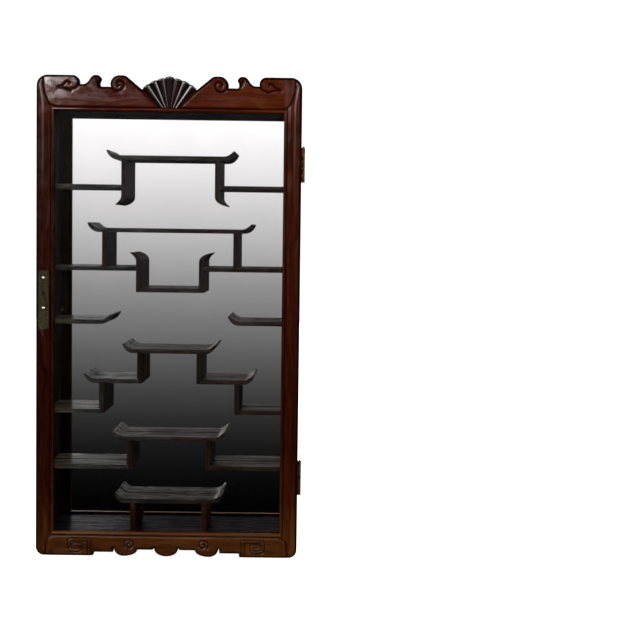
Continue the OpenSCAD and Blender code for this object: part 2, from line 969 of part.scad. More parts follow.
function crest_edge() = concat(
    [[0, seat_z], [seat_x, seat_z]],
    bend([scroll_x - 12, door_h - 1.5], [scroll_x - 9, door_h + 0.5], [scroll_x - 4, door_h + 0.5], 5),
    arc(scroll_c, scroll_r, 90, -scroll_end, 16),
    [[wave_hollow - 3, flat_z]],
    bend([wave_hollow - 2, flat_z], [wave_hollow + 2.5, flat_z + 3], wave_lip, 8),
    bend(wave_lip + [0.5, 1.5], [wave_lip[0] + 3, wave_top], [wave_x - 3, wave_top], 5),
    bend([wave_x, wave_top], [wave_x + 5, wave_top - 1], [wave_x + 9, door_h - 8], 6),
    bend([wave_x + 9, door_h - 8], [wave_x + 13, dip_z], [wave_x + 19, dip_z], 6),
    arc(shoulder_c, shoulder_r, 180 + asin((dip_drop - shoulder_r) / shoulder_r), 90),
    [[open_x, door_h]]);

// The front view of the crest rail, mitre ears included
module crest_view() {
    polygon(mirrored(concat(crest_edge(),
        [[open_x, open_high + bead_w], [open_x + bead_w, open_high + bead_w], [open_x, open_high]])));
}

module crest_rail() {
    color(door_wood) hung() {
        difference() {
            intersection() {
                level_moulding(open_high, 1, [-half_w, half_w]) polygon(rail_section(crest_h + 2));
                front_view([door_front - past, door_back + past]) crest_view();
            }
            glass_space();
            front_view([door_front - past, shell_ground + fit]) shell_seat(fit);
        }
        both_sides() rail_tenon(top_tenon_z);
    }
}

// The apron's lower edge, from the middle lobe to its joint with the stile
function apron_edge() = concat(
    oval([0, arch_rise + 2], [mid_lobe, arch_rise + 2], -90, 0, 10),
    [[mid_lobe + 1, cusp_rise], [mid_lobe + 2, arch_rise]],
    oval([side_lobe_x, arch_rise], [side_lobe_in, arch_rise], 180, 270, 10),
    oval([side_lobe_x, cusp_rise - 1], [side_lobe_out, cusp_rise - 1], 270, 360, 10),
    [[side_lobe_x + side_lobe_out + 1, cusp_rise], [side_lobe_x + side_lobe_out + 2, step_rise]],
    bend([half_w - foot_w - 1, step_rise], [half_w - foot_w, step_rise], [half_w - foot_w, step_rise - 1], 3),
    bend([half_w - foot_w + 0.5, 1], [half_w - foot_w + 1, 0], [half_w - foot_w + 3, 0], 3),
    [[open_x, 0]]);

module apron_view() {
    polygon(mirrored(concat(apron_edge(),
        [[open_x, open_low - bead_w], [open_x + bead_w, open_low - bead_w], [open_x, open_low]])));
}

module apron_rail() {
    color(door_wood) hung() {
        difference() {
            intersection() {
                level_moulding(open_low, -1, [-half_w, half_w]) polygon(rail_section(apron_h + past));
                front_view([door_front - past, door_back + past]) apron_view();
            }
            glass_space();
        }
        both_sides() rail_tenon(low_tenon_z);
    }
}

// ---- shell carving, let into the crest ----

rib_front = door_front + rib_h;
shell_ground = rib_front + ground_t;
rib_columns = 12;
fan_rows = 8;

// The V-shaped seat between the crest's two slopes
module shell_seat(grow = 0) {
    polygon(mirrored([
        [0, door_h + past], [seat_x + grow, door_h + past], [seat_x + grow, seat_z],
        [seat_foot_x + grow, seat_foot_z - grow], [0, seat_foot_z - grow]]));
}

// The ribs whose sides meet at an angle, and the radius at which a rib starts to round off
function ribs_at(a) = [for (side = [-1, 1]) round(a / rib_step + side / 100)];
function rib_full(i) = shell_r - rib_end + (i == 0 ? middle_rise : 0);

// Reach of one rib, and its height at a radius r, at an angle d from its middle:
// it widens up to the radius full, and is an oval beyond
function rib_reach(d, full) =
    let (a = (sin(d) / rib_w) ^ 2 + (cos(d) / rib_end) ^ 2, b = full * cos(d) / rib_end ^ 2)
    (b + sqrt(max(0, b ^ 2 - a * ((full / rib_end) ^ 2 - 1)))) / a;
function rib_height(d, full, r) =
    let (size = min(1, r / full), out = max(0, r * cos(d) - full) / rib_end)
    rib_h * size * sqrt(max(0, 1 - (r * sin(d) / (rib_w * size)) ^ 2 - out ^ 2));

// Reach of the fan at an angle, and height of its ribs there at a radius
function fan_reach(a) = min([for (i = ribs_at(a)) rib_reach(a - i * rib_step, rib_full(i))]);
function fan_height(a, r) = min([for (i = ribs_at(a)) rib_height(a - i * rib_step, rib_full(i), r)]);

// A point of the fan: row 0 lies on the seat's foot, the last row on the outer edge
function fan_point(a, row) =
    let (base = (seat_foot_z - eye_z) / cos(a))
    let (r = base + (fan_reach(a) - base) * sin(90 * row / fan_rows))
    [r * sin(a), rib_front - (row == fan_rows ? 0 : fan_height(a, r)), eye_z + r * cos(a)];

module shell_carving() {
    columns = 2 * round(fan_angle / rib_step * rib_columns);
    angles = [for (j = [0:columns]) fan_angle * (2 * j / columns - 1)];
    front = [for (a = angles) for (row = [0:fan_rows]) fan_point(a, row)];
    back = [for (p = concat(
        [for (a = angles) fan_point(a, fan_rows)], [fan_point(fan_angle, 0), fan_point(-fan_angle, 0)]))
        [p[0], shell_ground, p[2]]];
    step = fan_rows + 1;
    last = columns * step;
    behind = len(front);
    color(door_wood) hung() polyhedron(concat(front, back), concat(
        [for (j = [0:columns - 1]) for (k = [0:fan_rows - 1]) let (n = j * step + k) each [
            [n, n + 1, n + step + 1], [n, n + step + 1, n + step]]],
        [for (j = [0:columns - 1]) let (n = j * step + fan_rows)
            [n, behind + j, behind + j + 1, n + step]],
        [[for (j = [columns:-1:0]) behind + j, behind + columns + 2, behind + columns + 1]],
        [[for (j = [0:columns]) j * step, behind + columns + 1, behind + columns + 2]],
        [[for (k = [fan_rows:-1:0]) k, behind + columns + 2, behind]],
        [[for (k = [0:fan_rows]) last + k, behind + columns, behind + columns + 1]]), convexity = 10);
}

// ---- glazing ----

module glass_pane() {
    color("lightcyan", 0.3) hung()
        slab([-open_x - glass_lap + glass_play, open_x + glass_lap - glass_play],
            [glass_front, glass_back],
            [open_low - glass_lap + glass_play, open_high + glass_lap - glass_play]);
}

// One mitred glazing bead of length 2 * half along X, its outer edge at the origin
module glazing_bead(half) {
    slope = door_back - glass_back;
    rotate([90, 0, 0]) mirror([0, 0, 1]) linear_extrude(slope)
        polygon([[-half, 0], [half, 0], [half - glass_lap, -glass_lap], [glass_lap - half, -glass_lap]]);
}

module glazing_beads() {
    mid_z = (open_low + open_high) / 2;
    reach_x = open_x + glass_lap - fit;
    reach_z = open_high - mid_z + glass_lap - fit;
    color(door_wood) hung() translate([0, glass_back, mid_z]) {
        for (turn = [0, 180]) rotate([0, turn, 0]) {
            translate([0, 0, reach_z]) glazing_bead(reach_x - fit);
            rotate([0, 90, 0]) translate([0, 0, reach_x]) glazing_bead(reach_z - fit);
        }
    }
}

// ---- lock ----

lock_x = plate_in - half_w;
keyhole_z = plate_z + keyhole_up;
keyhole_tail = 6;
keyhole_tail_w = 2;
case_half_w = 9;
case_wall = 1;
case_half_l = 31;
case_deep = 11;
case_z = [keyhole_z - case_half_l, keyhole_z + case_half_l];
case_y = [door_back - case_deep, door_back];
keeper_in = 7;
keeper_x = keeper_in - carcass_x;
staple_up = 18.5;
staple_z = keyhole_z + staple_up;
staple_t = 3;
staple_leg = 1.6;
staple_gap = 3.8;
staple_reach = 9.3;
staple_play = 0.7;
bolt_w = 3;
bolt_t = 4;
bolt_in = 3.5;
bolt_y = [door_back - bolt_in - bolt_t, door_back - bolt_in];
bolt_rest_gap = 1.5;
bolt_l = 37;
bolt_top = staple_z - bolt_rest_gap;
bolt_play = 0.3;
tail_stop = 1.5;
tail_down = bolt_throw + tail_stop;
tail_l = 8.5;
tail_z = [keyhole_z - tail_down - tail_l, keyhole_z - tail_down];
drill_pin_r = 1;
talon_r = 3;

module keyhole(y, grow = 0) {
    front_view(y) {
        translate([lock_x, keyhole_z]) circle(r = keyhole_r + grow);
        translate([lock_x - keyhole_tail_w / 2 - grow, keyhole_z - keyhole_tail - grow])
            square([keyhole_tail_w + 2 * grow, keyhole_tail]);
    }
}

module plate_body(grow = 0) {
    slab([lock_x - plate_w / 2 - grow, lock_x + plate_w / 2 + grow],
        [door_front - past * sign(grow), door_front + plate_t],
        [plate_z - plate_l / 2 - grow, plate_z + plate_l / 2 + grow]);
}

plate_screw_l = 3.2;
dome_h = 1.2;
dome_r = 2.6;
dome_ball = (dome_r * dome_r + dome_h * dome_h) / (2 * dome_h);

module plate_screws(grow = 0) {
    for (z = [plate_z + plate_screw_up, plate_z - plate_screw_down])
        translate([lock_x, door_front, z]) rotate([-90, 0, 0]) {
            cylinder(r = screw_r + grow, h = plate_t + plate_screw_l + grow);
            if (grow == 0) intersection() {
                translate([0, 0, dome_ball - dome_h]) sphere(r = dome_ball);
                translate([0, 0, -dome_h]) cylinder(r = dome_r, h = dome_h);
            }
        }
}

module case_body(grow = 0) {
    slab([lock_x - case_half_w - grow, lock_x + case_half_w + grow],
        [case_y[0] - grow, case_y[1] + past * sign(grow)], [case_z[0] - grow, case_z[1] + grow]);
}

// Everything that the left stile gives up to the lock
module lock_seat() {
    plate_body(fit);
    plate_screws(fit);
    case_body(fit);
    case_lugs(fit);
    keyhole([door_front, case_y[0] + past], 1);
    case_screws(fit);
}

module lock_plate() {
    color(old_brass) hung() difference() {
        plate_body();
        keyhole([door_front - past, door_front + plate_t + past]);
        plate_screws(fit / 2);
    }
}

module lock_plate_screws() {
    color("silver") hung() plate_screws();
}

// Lugs above and below the lock case take its screws
lug_l = 8;
lug_t = 1.2;

module case_lugs(grow = 0) {
    slab([lock_x - case_half_w - grow, lock_x + case_half_w + grow],
        [door_back - lug_t - grow, door_back + past * sign(grow)],
        [case_z[0] - lug_l - grow, case_z[1] + lug_l + grow]);
}

module case_screws(grow = 0) {
    for (z = [case_z[0] - lug_l / 2, case_z[1] + lug_l / 2])
        translate([lock_x, door_back, z]) rotate([0, 0, 180]) flat_screw(grow);
}

module lock_case() {
    color(brass) hung() {
        difference() {
            union() {
                case_body();
                case_lugs();
            }
            slab([lock_x - case_half_w + case_wall, lock_x + case_half_w - case_wall],
                [case_y[0] + case_wall, case_y[1] - case_wall],
                [case_z[0] + case_wall, case_z[1] - case_wall]);
            keyhole([case_y[0] - past, case_y[0] + case_wall + fit]);
            slab([keeper_x - staple_gap, keeper_x + staple_gap],
                [case_y[1] - 2 * case_wall, case_y[1] + past],
                [staple_z - staple_play, staple_z + staple_t + staple_play]);
            case_screws(fit / 2);
        }
        translate([lock_x, case_y[0] + case_wall, keyhole_z]) rotate([-90, 0, 0])
            cylinder(r = drill_pin_r, h = case_y[1] - case_y[0] - 2 * case_wall);
    }
}

// The bolt at rest is drawn back below the staple; it travels upwards
module lock_bolt() {
    color(steel) hung() difference() {
        union() {
            slab([keeper_x - bolt_w / 2, keeper_x + bolt_w / 2], bolt_y, [bolt_top - bolt_l, bolt_top]);
            slab([keeper_x, lock_x + case_half_w - case_wall - bolt_play], bolt_y, tail_z);
        }
        translate([lock_x, bolt_y[0] - past, tail_z[1]]) rotate([-90, 0, 0])
            cylinder(r = talon_r, h = bolt_y[1] - bolt_y[0] + 2 * past);
    }
}

// The keeper on the left side's front edge, with the staple that the bolt passes through
keeper_w = 10;
keeper_l = 44;
keeper_t = 1.2;
keeper_screw_in = 6;
keeper_mid = staple_z + staple_t / 2;

module keeper_plate(grow = 0) {
    slab([keeper_x - keeper_w / 2 - grow, keeper_x + keeper_w / 2 + grow],
        [carcass_front - past * sign(grow), carcass_front + keeper_t + grow],
        [keeper_mid - keeper_l / 2 - grow, keeper_mid + keeper_l / 2 + grow]);
}

module keeper_screws(grow = 0) {
    for (side = [-1, 1])
        translate([keeper_x, carcass_front, keeper_mid + side * (keeper_l / 2 - keeper_screw_in)])
            flat_screw(grow);
}

module lock_keeper() {
    outer = staple_gap / 2 + staple_leg;
    color(brass) hung() difference() {
        union() {
            keeper_plate();
            slab([keeper_x - outer, keeper_x + outer],
                [door_back - staple_reach, carcass_front + keeper_t / 2], [staple_z, staple_z + staple_t]);
        }
        slab([keeper_x - staple_gap / 2, keeper_x + staple_gap / 2],
            [door_back - staple_reach + staple_leg, carcass_front],
            [staple_z - past, staple_z + staple_t + past]);
        keeper_screws(fit / 2);
    }
}

// ---- hinges, on the right ----

hinge_axis = [half_w + barrel_r + 0.3, (carcass_front + door_back) / 2];
knuckle_gap = 0.3;
hinge_screw_x = half_w - leaf_w / 2 - 0.5;
hinge_screw_step = hinge_l / 3;

module both_hinges() {
    for (z = [hinge_up_z, hinge_low_z]) translate([0, 0, z]) children();
}

// The seat of a leaf let into wood whose face is at y: dir is 1 for the carcass
module leaf_seat(y, dir) {
    ends = [y - dir * past, y + dir * (leaf_t + fit)];
    slab([half_w - leaf_w - fit, half_w + past], [min(ends), max(ends)],
        [-hinge_l / 2 - fit, hinge_l / 2 + fit]);
}

module hinge_screws_at(y, dir, grow = 0) {
    both_hinges() for (step = [-1:1])
        translate([hinge_screw_x, y, step * hinge_screw_step])
            rotate([0, 0, dir > 0 ? 0 : 180]) flat_screw(grow);
}

// A leaf with its knuckles: those of even index go to the carcass, the others to the door
module hinge_leaf(y, dir, first) {
    pitch = hinge_l / knuckles;
    faces = [y, y + dir * leaf_t];
    translate([0, 0, -hinge_l / 2]) difference() {
        union() {
            slab([half_w - leaf_w, hinge_axis[0]], [min(faces), max(faces)], [0, hinge_l]);
            for (i = [first:2:knuckles - 1]) translate([hinge_axis[0], hinge_axis[1], i * pitch])
                cylinder(r = barrel_r, h = pitch);
        }
        for (i = [1 - first:2:knuckles - 1])
            translate([hinge_axis[0], hinge_axis[1], i * pitch - knuckle_gap / 2])
                cylinder(r = barrel_r + knuckle_gap, h = pitch + knuckle_gap);
        translate([hinge_axis[0], hinge_axis[1], -past])
            cylinder(r = pin_r + pin_play, h = hinge_l + 2 * past);
    }
}

module hinge_leaves_carcass() {
    color(brass) hung() difference() {
        both_hinges() hinge_leaf(carcass_front, 1, 0);
        hinge_screws_at(carcass_front, 1, fit / 2);
    }
}

module hinge_leaves_door() {
    color(brass) hung() difference() {
        both_hinges() hinge_leaf(door_back, -1, 1);
        hinge_screws_at(door_back, -1, fit / 2);
    }
}

// Pins with a small domed head that rests on the top knuckle
pin_cap_r = 2;

module hinge_pins() {
    color(brass) hung() both_hinges() translate([hinge_axis[0], hinge_axis[1], 0]) {
        translate([0, 0, -hinge_l / 2]) cylinder(r = pin_r, h = hinge_l);
        translate([0, 0, hinge_l / 2]) intersection() {
            sphere(r = pin_cap_r);
            translate([0, 0, knuckle_gap / 2]) cylinder(r = pin_cap_r, h = pin_cap_r);
        }
        translate([0, 0, hinge_l / 2 - past]) cylinder(r = pin_r, h = past + knuckle_gap);
    }
}

module carcass_edge_screws() {
    color(brass) hung() {
        hinge_screws_at(carcass_front, 1);
        keeper_screws();
    }
}

module door_back_screws() {
    color(brass) hung() {
        hinge_screws_at(door_back, -1);
        case_screws();
    }
}

side_left();
side_right();
top_board();
floor_board();
back_panel();
mirror_plate();
panel_pins();
hanging_plates();
hanging_screws();
arch_shelf();
arch_post_left();
arch_post_right();
arch_side_shelf_left();
arch_side_shelf_right();
bridge_shelf();
bridge_post_left();
bridge_post_right();
bridge_side_shelf_left();
bridge_side_shelf_right();
cup_floor();
cup_post_left();
cup_post_right();
end_shelf_left();
end_shelf_right();
stair_shelf();
stair_post_left();
stair_post_right();
step_shelf_left();
step_shelf_right();
step_post_left();
step_post_right();
stair_side_shelf_left();
stair_side_shelf_right();
low_shelf();
low_post_left();
low_post_right();
low_side_shelf_left();
low_side_shelf_right();
table_shelf();
table_leg_left();
table_leg_right();
stile_left();
stile_right();
crest_rail();
apron_rail();
shell_carving();
glass_pane();
glazing_beads();
lock_plate();
lock_plate_screws();
lock_case();
lock_bolt();
lock_keeper();
hinge_leaves_carcass();
hinge_leaves_door();
hinge_pins();
carcass_edge_screws();
door_back_screws();
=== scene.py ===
"""Looks for the wall-hung display case: the carved door frame in full relief, its woods,
brass, glass and mirror, a pale floor, soft light and the camera.

Outlines are in millimetres with Z from the feet of the door, as in the part's source.
A depth is measured back from the foremost line of the door frame.
"""

import math

import bmesh
import bpy
import numpy as np
from mathutils import Matrix, Vector
from mathutils.geometry import delaunay_2d_cdt


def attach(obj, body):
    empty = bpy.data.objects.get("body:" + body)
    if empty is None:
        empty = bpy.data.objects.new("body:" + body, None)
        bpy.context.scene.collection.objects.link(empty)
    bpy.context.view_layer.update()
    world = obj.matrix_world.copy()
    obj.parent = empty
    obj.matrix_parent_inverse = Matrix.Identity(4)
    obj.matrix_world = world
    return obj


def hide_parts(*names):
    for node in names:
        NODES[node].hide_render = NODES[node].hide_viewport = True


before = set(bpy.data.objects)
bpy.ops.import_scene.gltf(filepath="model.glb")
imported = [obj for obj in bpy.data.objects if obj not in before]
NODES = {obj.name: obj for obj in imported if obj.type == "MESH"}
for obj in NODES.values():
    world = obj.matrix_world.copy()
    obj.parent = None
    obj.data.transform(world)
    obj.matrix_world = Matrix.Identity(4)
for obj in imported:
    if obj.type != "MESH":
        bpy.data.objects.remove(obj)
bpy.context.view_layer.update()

MM = 0.001
FEET_Z = 735.0       # the origin is this far above the feet
FRONT_Y = -100.0     # foremost plane of the frame


# ------------------------------------------------------------------ the door's values

DOOR_W, DOOR_H, DOOR_T = 416.0, 760.0, 16.0
HALF_W = DOOR_W / 2
STILE_W = 28.0
OPEN_X = HALF_W - STILE_W
OPEN_LOW, OPEN_HIGH = 38.5, 704.5
BEAD_W = 5.0
GLASS_LAP, GLASS_IN = 5.0, 10.0
RAIL_DROP = 1.0
CORNER_R, FOOT_R = 17.0, 13.0
RIDGE_IN = 9.5       # the stile's ridge lies this far inside its outer edge

# The shell: its radius, how much longer its middle rib is, and how far under the opening's upper
# edge its ribs meet; then its ribs' number, angle, half width, height and length of the round
# end, and the thickness behind them
SHELL_R, MIDDLE_RISE, EYE_DROP = 62.0, 1.8, 8.5
RIBS, RIB_STEP, RIB_W, RIB_H, RIB_END, GROUND_T = 7, 12.5, 6.9, 6.2, 2.6, 1.8
EYE_Z = OPEN_HIGH - EYE_DROP
SEAT_Z = DOOR_H - 21.0
SEAT_FOOT_Z = OPEN_HIGH + BEAD_W + 1.2
FAN_ANGLE = RIBS / 2 * RIB_STEP + 1.1
SEAT_GAP = 0.1
SEAT_TAN = math.tan(math.radians(FAN_ANGLE + 0.2))
SEAT_X = (SEAT_Z - EYE_Z) * SEAT_TAN
SEAT_FOOT_X = (SEAT_FOOT_Z - EYE_Z) * SEAT_TAN

# The crest's scroll and its square shoulder, the edge's heights between them, and the wave
SCROLL = np.array([78.4, 746.5])
SCROLL_R = 14.0
SHOULDER = np.array([151.9, 749.0])
SHOULDER_R = 11.0
DIP_Z, FLAT_Z = DOOR_H - 14.0, DOOR_H - 17.5
WAVE_X = 117.0


# ------------------------------------------------------------------ lines in the plane

def oval(c, r, start, end, n=24):
    a = np.radians(np.linspace(start, end, n + 1))
    return [np.array([c[0] + r[0] * math.cos(t), c[1] + r[1] * math.sin(t)]) for t in a]


def arc(c, r, start, end, n=24):
    return oval(c, (r, r), start, end, n)


def bend(a, b, c, n=14):
    a, b, c = (np.array(p, float) for p in (a, b, c))
    return [(1 - t) ** 2 * a + 2 * t * (1 - t) * b + t * t * c for t in np.linspace(0, 1, n + 1)]


def flipped(points):
    return [np.array([-p[0], p[1]]) for p in points[::-1]]


def tidy_line(points):
    out = [np.array(points[0], float)]
    for p in points[1:]:
        if np.hypot(*(np.array(p, float) - out[-1])) > 0.02:
            out.append(np.array(p, float))
    return out


def smooth(a, b, x):
    t = np.clip((x - a) / (b - a), 0, 1)
    return t * t * (3 - 2 * t)


def distance(p, path, closed=False):
    """How far each of the points p lies from a line."""
    path = np.array(path, float)
    ends = np.roll(path, -1, 0) if closed else path[1:]
    starts = path if closed else path[:-1]
    best = np.full(len(p), np.inf)
    for s, e in zip(starts, ends):
        d = e - s
        if d @ d > 1e-12:
            t = np.clip(((p - s) @ d) / (d @ d), 0, 1)
            best = np.minimum(best, np.hypot(*(p - s - t[:, None] * d).T))
    return best


def inside(p, ring):
    """Which of the points p lie within a closed outline."""
    ring = np.array(ring, float)
    hit = np.zeros(len(p), bool)
    for a, b in zip(ring, np.roll(ring, -1, 0)):
        if a[1] != b[1]:
            crosses = (a[1] > p[:, 1]) != (b[1] > p[:, 1])
            hit ^= crosses & (p[:, 0] < a[0] + (p[:, 1] - a[1]) * (b[0] - a[0]) / (b[1] - a[1]))
    return hit


def profile(points, at):
    """The height of a profile's line at each place."""
    return np.interp(at, [p[0] for p in points], [p[1] for p in points])


def near(p, path, reach):
    """Distances from a line, worked out only for the points near it."""
    path = np.array(path, float)
    out = np.full(len(p), 1e3)
    lo, hi = path.min(0) - reach, path.max(0) + reach
    use = np.all((p >= lo) & (p <= hi), axis=1)
    if use.any():
        out[use] = distance(p[use], path)
    return out


# ------------------------------------------------------------------ the frame's outline

def crest_edge():
    """The crest's upper edge, from behind the shell to the stile, on the right."""
    end = math.degrees(math.asin((SCROLL[1] - FLAT_Z) / SCROLL_R))
    wave_top, lip, hollow = DOOR_H + 0.5, np.array([WAVE_X - 10.5, DOOR_H - 6]), WAVE_X - 8
    dip = math.degrees(math.asin((14.0 - SHOULDER_R) / SHOULDER_R))
    return tidy_line(
        [(0, SEAT_Z), (SEAT_X, SEAT_Z)]
        + bend((SCROLL[0] - 12, DOOR_H - 1.5), (SCROLL[0] - 9, DOOR_H + 0.5), (SCROLL[0] - 4, DOOR_H + 0.5))
        + arc(SCROLL, SCROLL_R, 90, -end, 40)
        + [(hollow - 3, FLAT_Z)]
        + bend((hollow - 2, FLAT_Z), (hollow + 2.5, FLAT_Z + 3), lip)
        + bend(lip + (0.5, 1.5), (lip[0] + 3, wave_top), (WAVE_X - 3, wave_top))
        + bend((WAVE_X, wave_top), (WAVE_X + 5, wave_top - 1), (WAVE_X + 9, DOOR_H - 8))
        + bend((WAVE_X + 9, DOOR_H - 8), (WAVE_X + 13, DIP_Z), (WAVE_X + 19, DIP_Z))
        + arc(SHOULDER, SHOULDER_R, 180 + dip, 90, 36)
        + [(OPEN_X, DOOR_H)])


def apron_edge():
    """The apron's lower edge, from the middle lobe to the stile, on the right."""
    arch, cusp, step = 10.3, 13.6, 6.0
    foot_x, lobe_x = HALF_W - 92.0, 68.0
    return tidy_line(
        oval((0, arch + 2), (19, arch + 2), -90, 0, 24)
        + [(20, cusp), (21, arch)]
        + oval((lobe_x, arch), (22, arch), 180, 270, 20)
        + oval((lobe_x, cusp - 1), (15, cusp - 1), 270, 360, 20)
        + [(lobe_x + 16, cusp), (lobe_x + 17, step)]
        + bend((foot_x - 1, step), (foot_x, step), (foot_x, step - 1), 5)
        + bend((foot_x + 0.5, 1), (foot_x + 1, 0), (foot_x + 3, 0), 5)
        + [(OPEN_X, 0)])


CREST, APRON = crest_edge(), apron_edge()
TOP_CORNER = arc((HALF_W - CORNER_R, DOOR_H - CORNER_R), CORNER_R, 90, 0, 30)
FOOT_CORNER = arc((HALF_W - FOOT_R, FOOT_R), FOOT_R, 0, -90, 24)
RIGHT_EDGE = CREST + TOP_CORNER + FOOT_CORNER + APRON[::-1]
DOOR_EDGE = tidy_line(RIGHT_EDGE + flipped(RIGHT_EDGE))
EAR_TOP = [(OPEN_X, OPEN_HIGH + BEAD_W), (OPEN_X + BEAD_W, OPEN_HIGH + BEAD_W), (OPEN_X, OPEN_HIGH)]
EAR_LOW = [(OPEN_X, OPEN_LOW), (OPEN_X + BEAD_W, OPEN_LOW - BEAD_W), (OPEN_X, OPEN_LOW - BEAD_W)]


# ------------------------------------------------------------------ the relief

# Profiles, as (place, depth): the bead and the cove by the distance from the opening, and a
# stile's outer slope by the distance from its outer edge
COVE_END = 18.5
BEAD = [(0, 3.4)] + arc((2.5, 3.4), 2.5, 180, 360, 20) + [(BEAD_W + 0.5, 3.4)]
COVE = bend((5.6, 2.8), (12, 2.4), (COVE_END, 0.25))
SLOPE = bend((0, 5), (0.3, 2.2), (3.5, 1.4)) + [(8.7, 0.08), (9.0, 0.05), (RIDGE_IN, 0.25)]
# How far the ridge lies inside the outer edge, by height: it draws out near the top
RIDGE = [(711, RIDGE_IN), (718, 9.0), (726, 8.1), (741, 5.4), (752, 4.2), (760, 4.0)]
# How strong the highlight painted along the ridge is, by height
PAINTED_RIDGE_HIGHLIGHT = [(560, 0), (640, 0.2), (700, 0.34), (712, 0.8), (752, 0.9)]
# Width of the dark rim of painted shade along the outer edge, by height
PAINTED_SHADE_RIM = [(640, 2.0), (705, 3.0)]

# The raised field of the crest and of the apron ends along these lines, on the right
CREST_FIELD = [(-1, 709.9), (174, 709.9), (181.5, 711), (186.9, 713.5), (191, 718.2), (193.8, 725.5),
               (196.5, 734), (197.3, 742), (198, 750), (198.5, 758), (198.5, 775)]
APRON_FIELD = [(-1, 33), (178, 33), (184, 31.4), (188.2, 28), (190.8, 23.5), (192, 17), (193, 9),
               (194.5, -12)]
EDGE_ROUND = 3.4     # rounding of the fields' outer edges
FIELD_CROWN = 0.25   # the fields' middles stand this much prouder than their borders
STEP_DEEP = 2.1      # depth of the step at a field's border

# Middles of the apron's scrolls
APRON_SCROLL, LOBE_CURL, MIDDLE_CURL = (58.6, 18.6), (84.6, 12.6), (19.9, 13.2)


def spiral(c, turns):
    """Points through (angle, radius) pairs round c."""
    turns = np.array(turns, float)
    a = np.linspace(turns[0][0], turns[-1][0], 60)
    r = profile(turns[np.argsort(turns[:, 0])], a)
    return [np.array([c[0] + k * math.cos(math.radians(t)), c[1] + k * math.sin(math.radians(t))])
            for t, k in zip(a, r)]


CURL = [(-60, 3.6), (60, 3.2), (180, 2.6), (300, 1.8)]
# Carved lines: (points, depth, half width)
LINES = [
    # the roll and the leaf on the square shoulder
    (arc(SHOULDER, SHOULDER_R - 0.4, 196, 270, 10)
     + bend((153.5, 735.4), (157, 736), (160, 737.8), 5)
     + bend((160, 737.8), (166, 740.8), (174.5, 739.6), 8), 2.0, 1.6),
    (bend((171.5, 741.6), (165.5, 742.6), (163.2, 746.5), 6)
     + bend((163.2, 746.5), (161, 750), (158.8, 749.6), 5)
     + bend((158.8, 749.6), (155.6, 749), (155.8, 746.4), 5), 1.7, 1.4),
    # the wave, and the line beside the shell
    (bend((116.2, 757.6), (115.4, 750), (111.8, 745), 8)
     + bend((111.8, 745), (109.5, 741.6), (103, 741.2), 5), 2.0, 1.8),
    ([(SEAT_FOOT_X + 2.2, SEAT_FOOT_Z - 0.4), (SEAT_X + 2, SEAT_Z - 2), (69, 756)], 0.9, 0.8),
    # the crest's scroll, the apron's scroll and its two small curls
    (spiral(SCROLL, [(-14, 13.8), (-60, 11.8), (-90, 10.3), (-130, 8.4), (-180, 6.4), (-250, 5),
                     (-330, 3.9), (-420, 3.3)]), 2.0, 1.55),
    (spiral(APRON_SCROLL, [(-40, 8.4), (20, 8.2), (90, 7.6), (150, 6.6), (220, 5.2), (300, 4.0),
                           (390, 3.2), (450, 2.6)]), 1.6, 1.3),
    (spiral(LOBE_CURL, CURL), 1.1, 0.8),
    (spiral(MIDDLE_CURL, CURL), 1.1, 0.8),
]
# Raised eyes in the scrolls: (centre, radius, height)
EYES = [(SCROLL, 2.5, 1.1), (APRON_SCROLL, 2.3, 0.9), (LOBE_CURL, 1.6, 0.7), (MIDDLE_CURL, 1.6, 0.7)]
# The key fret beside each foot, a raised strap with a groove along both sides
FRET = [(122.5, 1.5), (122.5, 26), (150, 26), (152.6, 25), (154, 22.5), (154, 13), (153, 10.4),
        (150, 9), (138, 9), (137, 10), (137, 17.8), (138, 18.4), (146, 18.4)]
FRET_RISE, FRET_GROOVE, GROOVE_AT = 0.7, 1.0, 2.7
# A fine line follows the apron's lower edge
LOW_LINE_IN, LOW_LINE_DEEP, LOW_LINE_TOP = 2.9, 0.45, 30.0


def bell(d, width):
    """1 where the distance d is 0, falling off over the width."""
    return np.exp(-(d / width) ** 2)


